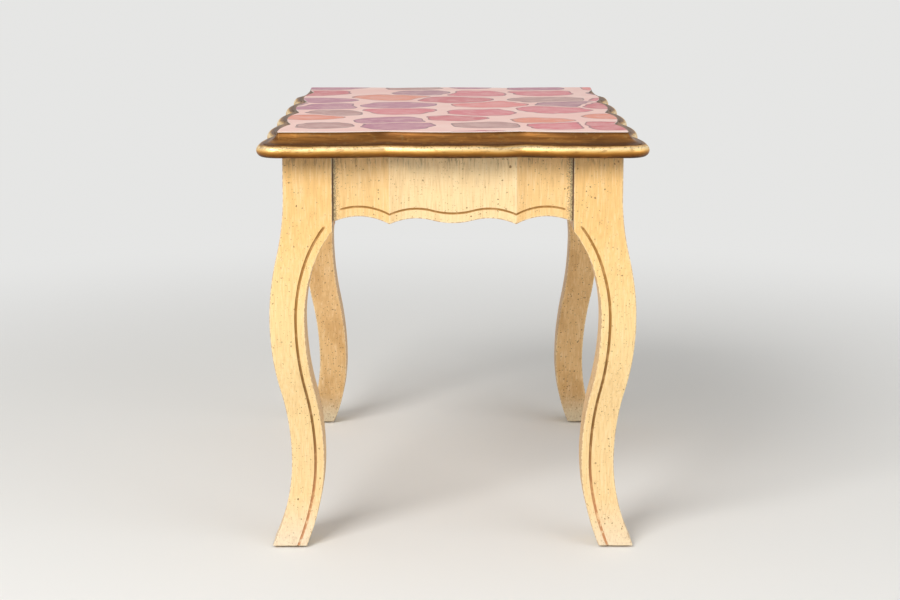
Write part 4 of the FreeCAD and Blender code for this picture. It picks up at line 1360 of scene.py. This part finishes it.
@dataclass
class MouldedTop:
    """The board: a lobed outline with one moulding run all round it, and the panel inside."""

    carcass: Carcass
    corner_radius: float = 0.028
    end_straight: float = 0.044
    side_straight: float = 0.011
    end_notch_depth: float = 0.009
    side_notch_depth: float = 0.009
    notch_radius: float = 0.014
    lip_height: float = 0.0015
    cove_width: float = 0.0162
    cove_drop: float = 0.0116
    cove_radius: float = 0.022
    quirk_height: float = 0.0008
    nosing_width: float = 0.0085
    nosing_rise: float = 0.0069
    nosing_return: float = 0.0055
    rail: float = 0.0022
    bead: float = 0.0005
    point_step: float = 0.0016

    @property
    def thickness(self) -> float:
        """Board thickness."""
        return self.carcass.face - self.carcass.underside

    @property
    def moulding_width(self) -> float:
        """From the nosing to the flat face."""
        return self.nosing_width + self.cove_width

    def row(self, half_side: float, half_other: float, straight: float, depth: float,
            dips: int) -> list[tuple[float, float, float, float]]:
        """One side of the outline, seen with the side along x and outwards as +y.

        Args:
            half_side: half of the side's length.
            half_other: from the middle of the bench to this side.
            straight: the straight run beside each corner.
            depth: how far the edge dips between two lobes.
            dips: how many dips.

        Returns:
            Rows of x, y and the outward direction's x and y, with x falling.
        """
        reach = half_side - self.corner_radius - straight
        lobe = 2 * reach / dips
        q = (lobe ** 2 / 4 + depth ** 2) / (2 * depth)
        swell = q - self.notch_radius
        swing = math.asin(lobe / 2 / q)
        found: list[tuple[float, float, float, float]] = []

        def sweep(center_x: float, center_y: float, radius: float, begin: float, end: float,
                  fine: int = 1) -> None:
            """Points of one arc, by angles from +y towards +x. A hollow has a negative radius."""
            steps = fine * max(3, math.ceil(abs(radius * (end - begin)) / self.point_step))
            for step in range(steps + 1):
                angle = begin + (end - begin) * step / steps
                x, y = math.sin(angle), math.cos(angle)
                found.append((center_x + radius * x, center_y + radius * y, x, y))

        corner_x, corner_y = half_side - self.corner_radius, half_other - self.corner_radius
        sweep(corner_x, corner_y, self.corner_radius, math.pi / 4, 0.0)
        for dip in range(dips + 1):
            middle = reach - lobe * dip
            sweep(middle, half_other - swell, swell, swing if dip else 0.0, -swing if dip < dips else 0.0)
            if dip < dips:
                sweep(middle - lobe / 2, half_other + self.notch_radius - depth, -self.notch_radius,
                      -swing, swing, 2)
        sweep(-corner_x, corner_y, self.corner_radius, 0.0, -math.pi / 4)
        return found

    def outline(self) -> np.ndarray:
        """The whole edge, counter-clockwise: rows of x, y and the outward direction."""
        end = self.row(self.carcass.half_width, self.carcass.half_length, self.end_straight,
                       self.end_notch_depth, 2)
        side = self.row(self.carcass.half_length, self.carcass.half_width, self.side_straight,
                        self.side_notch_depth, 4)
        rows = []
        for cells, turns in ((end, 0), (side, 1), (end, 2), (side, 3)):
            for x, y, out_x, out_y in cells:
                for _ in range(turns):
                    x, y, out_x, out_y = -y, x, -out_y, out_x
                if not rows or math.hypot(x - rows[-1][0], y - rows[-1][1]) > 1e-5:
                    rows.append((x, y, out_x, out_y))
        while math.hypot(rows[0][0] - rows[-1][0], rows[0][1] - rows[-1][1]) < 1e-5:
            rows.pop()
        return np.array(rows)

    def profile(self) -> list[tuple[float, float]]:
        """The moulding's closed section: (inwards, up) from the nosing's foot."""
        def arc(a: tuple[float, float], b: tuple[float, float], radius: float, bulge: int,
                steps: int) -> list[tuple[float, float]]:
            """Points of the short arc from a to b, bulging to the left (1) or right (-1) of the way."""
            ax, ay = a
            bx, by = b
            chord = math.hypot(bx - ax, by - ay)
            depth = math.sqrt(max(radius ** 2 - chord ** 2 / 4, 0.0))
            nx, ny = -(by - ay) / chord * bulge, (bx - ax) / chord * bulge
            cx, cy = (ax + bx) / 2 - nx * depth, (ay + by) / 2 - ny * depth
            first, last = math.atan2(ay - cy, ax - cx), math.atan2(by - cy, bx - cx)
            turn = (last - first + math.pi) % (2 * math.pi) - math.pi
            return [(cx + radius * math.cos(first + turn * step / steps),
                     cy + radius * math.sin(first + turn * step / steps)) for step in range(1, steps + 1)]

        top = self.thickness
        lip = top - self.lip_height
        quirk = lip - self.cove_drop
        nosing = quirk - self.quirk_height
        nose = nosing - self.nosing_rise
        upper = (self.nosing_width ** 2 + self.nosing_rise ** 2) / (2 * self.nosing_width)
        lower = (self.nosing_return ** 2 + nose ** 2) / (2 * self.nosing_return)
        width, inner = self.moulding_width, self.moulding_width + self.rail
        points = [(inner, 0.0), (self.nosing_return + 0.004, 0.0), (self.nosing_return, 0.0)]
        points += arc(points[-1], (0.0, nose), lower, 1, 9)
        points += arc((0.0, nose), (self.nosing_width, nosing), upper, 1, 12)
        points += [(self.nosing_width, nosing + self.quirk_height * 0.5), (self.nosing_width, quirk)]
        points += arc(points[-1], (width, lip), self.cove_radius, -1, 12)
        points += [(width, top - self.bead), (width + self.bead * 0.3, top - self.bead * 0.3),
                   (width + self.bead, top), (inner, top)]
        return points

    def run_tree(self) -> NodeRun:
        """The tree that runs a unit section round an outline."""
        run = NodeRun("moulding_run", [
            ("Section", "NodeSocketObject"),
            ("Moulding Width", FLOAT),
            ("Board Thickness", FLOAT),
            ("Underside", FLOAT),
            ("Edge Length", FLOAT),
            ("Material", "NodeSocketMaterial"),
        ])
        graph, given = run.graph, run.given
        edge = graph.add("GeometryNodeMeshToCurve", {"Mesh": given["Geometry"]}).outputs[0]
        share = graph.add("GeometryNodeSplineParameter").outputs["Factor"]
        angle = graph.times(share, math.tau)
        radius = graph.math("DIVIDE", given["Edge Length"], math.tau)
        run_x = graph.times(graph.math("COSINE", angle), radius)
        run_y = graph.times(graph.math("SINE", angle), radius)
        stored = graph.add("GeometryNodeStoreNamedAttribute", {
            "Geometry": edge, "Name": "run", "Value": graph.vector(run_x, run_y, 0.0),
        }, data_type="FLOAT_VECTOR", domain="POINT").outputs[0]
        section = graph.add("GeometryNodeObjectInfo", {"Object": given["Section"]}).outputs["Geometry"]
        size = graph.vector(given["Moulding Width"], given["Board Thickness"], 1.0)
        sized = graph.add("GeometryNodeTransform", {"Geometry": section, "Scale": size}).outputs[0]
        profile = graph.add("GeometryNodeMeshToCurve", {"Mesh": sized}).outputs[0]
        swept = graph.add("GeometryNodeCurveToMesh", {"Curve": stored, "Profile Curve": profile}).outputs[0]
        lift = graph.vector(0.0, 0.0, given["Underside"])
        raised = graph.add("GeometryNodeTransform", {"Geometry": swept, "Translation": lift}).outputs[0]
        run.close(raised)
        return run

    @staticmethod
    def loop_mesh(name: str, points: Sequence[tuple[float, float, float]]) -> bpy.types.Mesh:
        """A closed loop of edges."""
        mesh = bpy.data.meshes.new(name)
        count = len(points)
        mesh.from_pydata(points, [(i, (i + 1) % count) for i in range(count)], [])
        return mesh

    def build_moulding(self, finish: bpy.types.Material) -> bpy.types.Object:
        """Run the moulding round the top."""
        edge = self.outline()
        width = self.moulding_width
        unit = [(-inwards / width, -up / self.thickness, 0.0) for inwards, up in self.profile()]
        section = bpy.data.objects.new("moulding_section", self.loop_mesh("moulding_section", unit))
        bpy.context.scene.collection.objects.link(section)
        base = self.loop_mesh("top_edge", [(x, y, 0.0) for x, y in edge[:, :2]])
        length = float(np.linalg.norm(np.roll(edge[:, :2], -1, 0) - edge[:, :2], axis=1).sum())
        piece = self.run_tree().run("gilt_moulding", base, {
            "Section": section,
            "Moulding Width": width,
            "Board Thickness": self.thickness,
            "Underside": self.carcass.underside,
            "Edge Length": length,
            "Material": finish,
        }, 38.0)
        bpy.data.objects.remove(section)
        work = bmesh.new()
        work.from_mesh(piece.data)
        bmesh.ops.recalc_face_normals(work, faces=work.faces)
        work.to_mesh(piece.data)
        work.free()
        return finish_piece(piece, finish, ["top_board"])

    def build_panel(self, finish: bpy.types.Material) -> bpy.types.Object:
        """The flat of the board inside the moulding, which shows from below."""
        edge = self.outline()
        inset = self.moulding_width + self.rail - 0.0002
        low, high = self.carcass.underside, self.carcass.face - 0.0002
        ring = edge[:, :2] - edge[:, 2:] * inset
        points = [(x, y, z) for z in (low, high) for x, y in ring]
        piece = mesh_piece("board_panel", np.array(points), loft_faces(2, len(ring)), {})
        return finish_piece(piece, finish, [])


@dataclass
class Fixings:
    """Pan-head screws in the corner blocks, and what holds the bench together out of sight."""

    carcass: Carcass
    head_radius: float = 0.004
    head_height: float = 0.0024
    shank_radius: float = 0.002
    slot_width: float = 0.0011
    slot_depth: float = 0.0012
    short_length: float = 0.030
    long_length: float = 0.038
    apron_back: float = 0.023
    seat: float = 0.017
    from_post: float = 0.0414
    top_inset: float = 0.0084

    def screw_tree(self) -> NodeRun:
        """The tree that sets one slotted screw on each point."""
        run = NodeRun("pan_head_screws", [
            ("Head Radius", FLOAT),
            ("Head Height", FLOAT),
            ("Shank Radius", FLOAT),
            ("Slot Width", FLOAT),
            ("Slot Depth", FLOAT),
            ("Material", "NodeSocketMaterial"),
        ])
        graph, given = run.graph, run.given
        height, radius = given["Head Height"], given["Head Radius"]
        rim = graph.times(radius, 0.82)
        head = graph.add("GeometryNodeMeshCone", {"Vertices": 24, "Radius Top": radius, "Radius Bottom": rim,
                                                  "Depth": height}).outputs["Mesh"]
        bar = graph.add("GeometryNodeMeshCube", {
            "Size": graph.vector(graph.times(radius, 3.0), given["Slot Width"],
                                 graph.times(given["Slot Depth"], 2.0)),
        }).outputs["Mesh"]
        slotted = graph.add("GeometryNodeMeshBoolean", {"Mesh 1": head, "Mesh 2": bar},
                            operation="DIFFERENCE", solver="EXACT").outputs[0]
        length = graph.add("GeometryNodeInputNamedAttribute", {"Name": "length"},
                           data_type="FLOAT").outputs[0]
        shank = graph.add("GeometryNodeMeshCylinder", {"Vertices": 16, "Radius": given["Shank Radius"],
                                                       "Depth": 1.0}).outputs["Mesh"]
        lift = graph.vector(0.0, 0.0, 0.5)
        shank = graph.add("GeometryNodeTransform", {"Geometry": shank, "Translation": lift}).outputs[0]
        facing = graph.add("GeometryNodeInputNamedAttribute", {"Name": "facing"},
                           data_type="FLOAT_VECTOR").outputs[0]
        turn = graph.add("FunctionNodeAlignRotationToVector", {"Vector": facing}, axis="Z").outputs[0]
        heads = graph.add("GeometryNodeInstanceOnPoints", {"Points": given["Geometry"], "Instance": slotted,
                                                           "Rotation": turn}).outputs[0]
        shanks = graph.add("GeometryNodeInstanceOnPoints", {
            "Points": given["Geometry"], "Instance": shank, "Rotation": turn,
            "Scale": graph.vector(1.0, 1.0, length),
        }).outputs[0]
        joined = graph.add("GeometryNodeJoinGeometry")
        for part in (shanks, heads):
            graph.feed(joined.inputs[0], part)
        run.close(joined.outputs[0])
        return run

    def build_screws(self, finish: bpy.types.Material) -> bpy.types.Object:
        """Set three screws in each corner block."""
        along = self.carcass.post_width + self.from_post
        head = self.apron_back + self.seat
        inset = self.carcass.post_width + self.top_inset
        block_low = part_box("front_left_corner_block")[0].z
        middle = (block_low + self.carcass.underside) / 2
        spots, facing, lengths = [], [], []
        for corner in Corner:
            local = np.array([(-along, -head, middle), (-head, -along, middle), (-inset, -inset, block_low)])
            ways = np.array([(0.0, 1.0, 0.0), (1.0, 0.0, 0.0), (0.0, 0.0, 1.0)])
            spots += corner.place(local, self.carcass).tolist()
            facing += quarter_turns(ways, corner.turns).tolist()
            lengths += [self.short_length, self.short_length, self.long_length]
        base = bpy.data.meshes.new("screw_spots")
        base.from_pydata(spots, [], [])
        base.attributes.new("facing", "FLOAT_VECTOR", "POINT").data.foreach_set("vector", np.ravel(facing))
        base.attributes.new("length", "FLOAT", "POINT").data.foreach_set("value", lengths)
        piece = self.screw_tree().run("block_screw_set", base, {
            "Head Radius": self.head_radius,
            "Head Height": self.head_height,
            "Shank Radius": self.shank_radius,
            "Slot Width": self.slot_width,
            "Slot Depth": self.slot_depth,
            "Material": finish,
        }, 30.0)
        names = [f"{corner.label}_block_screws" for corner in Corner]
        return finish_piece(piece, finish, names)

    def dress_nodes(self, wood: bpy.types.Material, steel: bpy.types.Material,
                    print_finish: bpy.types.Material) -> None:
        """Give the CAD nodes that stay in view their finishes."""
        for name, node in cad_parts.items():
            if name.endswith("_corner_block") or name.endswith("_dowels"):
                self.dress(node, wood)
            elif name.endswith("_glide"):
                self.dress(node, steel)
        self.dress(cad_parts["printed_top_sheet"], print_finish)

    @staticmethod
    def dress(node: bpy.types.Object, material: bpy.types.Material) -> None:
        """Assign one finish to a CAD node."""
        node.data.materials.clear()
        node.data.materials.append(material)


# Studio

@dataclass
class Studio:
    """A pale floor, a key from the left front, a weaker fill from the right, and the camera."""

    camera_place: tuple[float, float, float] = (-0.011, -2.442, 0.754)
    pitch: float = 10.36
    yaw: float = 0.2
    lens: float = 73.5
    shift: float = -0.05
    floor_half: float = 14.0
    floor_bend: float = 3.0
    floor_color: Color = (0.86, 0.86, 0.85)
    sky: Color = (1.0, 0.99, 0.97)
    backdrop: Color = (0.79, 0.79, 0.78)
    even_from: float = 0.6
    even_to: float = 1.9
    world_level: float = 0.50
    key_power: float = 82.0
    key_size: float = 1.7
    key_place: tuple[float, float, float] = (-1.6, -2.5, 2.5)
    key_color: Color = (1.0, 0.985, 0.96)
    fill_power: float = 21.0
    fill_size: float = 2.2
    fill_place: tuple[float, float, float] = (2.3, -1.6, 1.2)
    fill_color: Color = (0.97, 0.985, 1.0)
    lit_height: float = 0.28

    def build_floor(self) -> None:
        """A floor that runs up into a far backdrop."""
        half, bend = self.floor_half, self.floor_bend
        rows = [(-half, 0.0), (half / 2, 0.0)]
        for step in range(1, 13):
            angle = math.pi / 2 * step / 12
            rows.append((half / 2 + bend * math.sin(angle), bend * (1 - math.cos(angle))))
        rows.append((half / 2 + bend, half))
        points = [(x, y, z) for y, z in rows for x in (-half, half)]
        faces = [[2 * i, 2 * i + 1, 2 * i + 3, 2 * i + 2] for i in range(len(rows) - 1)]
        mesh = bpy.data.meshes.new("studio_floor")
        mesh.from_pydata(points, [], faces)
        mesh.shade_smooth()
        floor = bpy.data.objects.new("studio_floor", mesh)
        bpy.context.scene.collection.objects.link(floor)
        floor.data.materials.append(self.floor_finish())

    def close(self, graph: Graph, lit: bpy.types.Node, even: bpy.types.Node, share: object,
              output: bpy.types.Node) -> None:
        """End a tree that the camera and reflections see as the even backdrop.

        Args:
            graph: the tree.
            lit: the shader that lights the bench.
            even: the shader that has the backdrop's colour.
            share: how far the second takes over where it is seen.
            output: the tree's end.
        """
        path = graph.add("ShaderNodeLightPath").outputs
        seen = graph.math("MAXIMUM", path["Is Camera Ray"],
                          graph.math("MAXIMUM", path["Is Glossy Ray"], path["Is Transmission Ray"]))
        mixed = graph.add("ShaderNodeMixShader", {0: graph.times(seen, share), 1: lit.outputs[0],
                                                  2: even.outputs[0]})
        graph.feed(output.inputs["Surface"], mixed.outputs[0])

    def floor_finish(self) -> bpy.types.Material:
        """Matt and pale, and of one even tone further out where the camera or a reflection sees it."""
        material, graph = new_material("studio_floor")
        spread = graph.steer("LENGTH", {0: graph.place()}, "Value")
        lit = graph.add("ShaderNodeBsdfDiffuse", {"Color": self.floor_color})
        even = graph.add("ShaderNodeEmission", {"Color": self.backdrop, "Strength": 1.0})
        self.close(graph, lit, even, graph.between(spread, self.even_from, self.even_to),
                   graph.add("ShaderNodeOutputMaterial"))
        return material

    def build_world(self) -> None:
        """Even light, and a pale surround where the camera or a reflection sees it."""
        world = bpy.data.worlds.new("studio")
        bpy.context.scene.world = world
        world.use_nodes = True
        graph = Graph(world.node_tree)
        lit = graph.add("ShaderNodeBackground", {"Color": self.sky, "Strength": self.world_level})
        even = graph.add("ShaderNodeBackground", {"Color": self.backdrop, "Strength": 1.0})
        self.close(graph, lit, even, 1.0, graph.add("ShaderNodeOutputWorld"))

    def lamp(self, name: str, power: float, size: float, place: tuple[float, float, float],
             color: Color) -> None:
        """One soft square lamp, aimed at the bench's middle."""
        data = bpy.data.lights.new(name, "AREA")
        data.energy = power
        data.size = size
        data.color = color
        lamp = bpy.data.objects.new(name, data)
        lamp.location = place
        way = Vector((0.0, 0.0, self.lit_height)) - Vector(place)
        lamp.rotation_euler = way.to_track_quat("-Z", "Y").to_euler()
        bpy.context.scene.collection.objects.link(lamp)

    def build_camera(self) -> None:
        """The photograph's viewing angle."""
        data = bpy.data.cameras.new("camera")
        data.lens = self.lens
        data.sensor_width = 36.0
        data.shift_y = self.shift
        camera = bpy.data.objects.new("camera", data)
        camera.location = self.camera_place
        camera.rotation_euler = (math.radians(90 - self.pitch), 0.0, math.radians(-self.yaw))
        bpy.context.scene.collection.objects.link(camera)
        bpy.context.scene.camera = camera

    def build(self) -> None:
        """Set up floor, light and camera."""
        bpy.context.scene.view_settings.view_transform = "Standard"
        self.build_camera()
        self.build_floor()
        self.build_world()
        self.lamp("key", self.key_power, self.key_size, self.key_place, self.key_color)
        self.lamp("fill", self.fill_power, self.fill_size, self.fill_place, self.fill_color)


def main() -> None:
    """Build the looks round the frame."""
    logging.basicConfig(level=logging.INFO, format="%(name)s: %(message)s")
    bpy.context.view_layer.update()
    carcass = Carcass.from_frame()
    effects = Effects()
    Studio().build()

    painted = PaintedWood(carcass.underside).build(effects)
    gilt = GiltEdge(carcass.underside, carcass.face).build(effects)
    wood = BareWood().build(effects)
    steel = PlatedSteel().build(effects)
    print_finish = PrintedFace().build()

    legs = CabrioleLegs(carcass)
    for corner in Corner:
        legs.build(corner, painted)
    aprons = Aprons(carcass)
    for side in Side:
        aprons.build(side, painted)
    top = MouldedTop(carcass)
    top.build_moulding(gilt)
    top.build_panel(wood)
    fixings = Fixings(carcass)
    fixings.build_screws(steel)
    fixings.dress_nodes(wood, steel, print_finish)


if __name__ == "__main__":
    main()
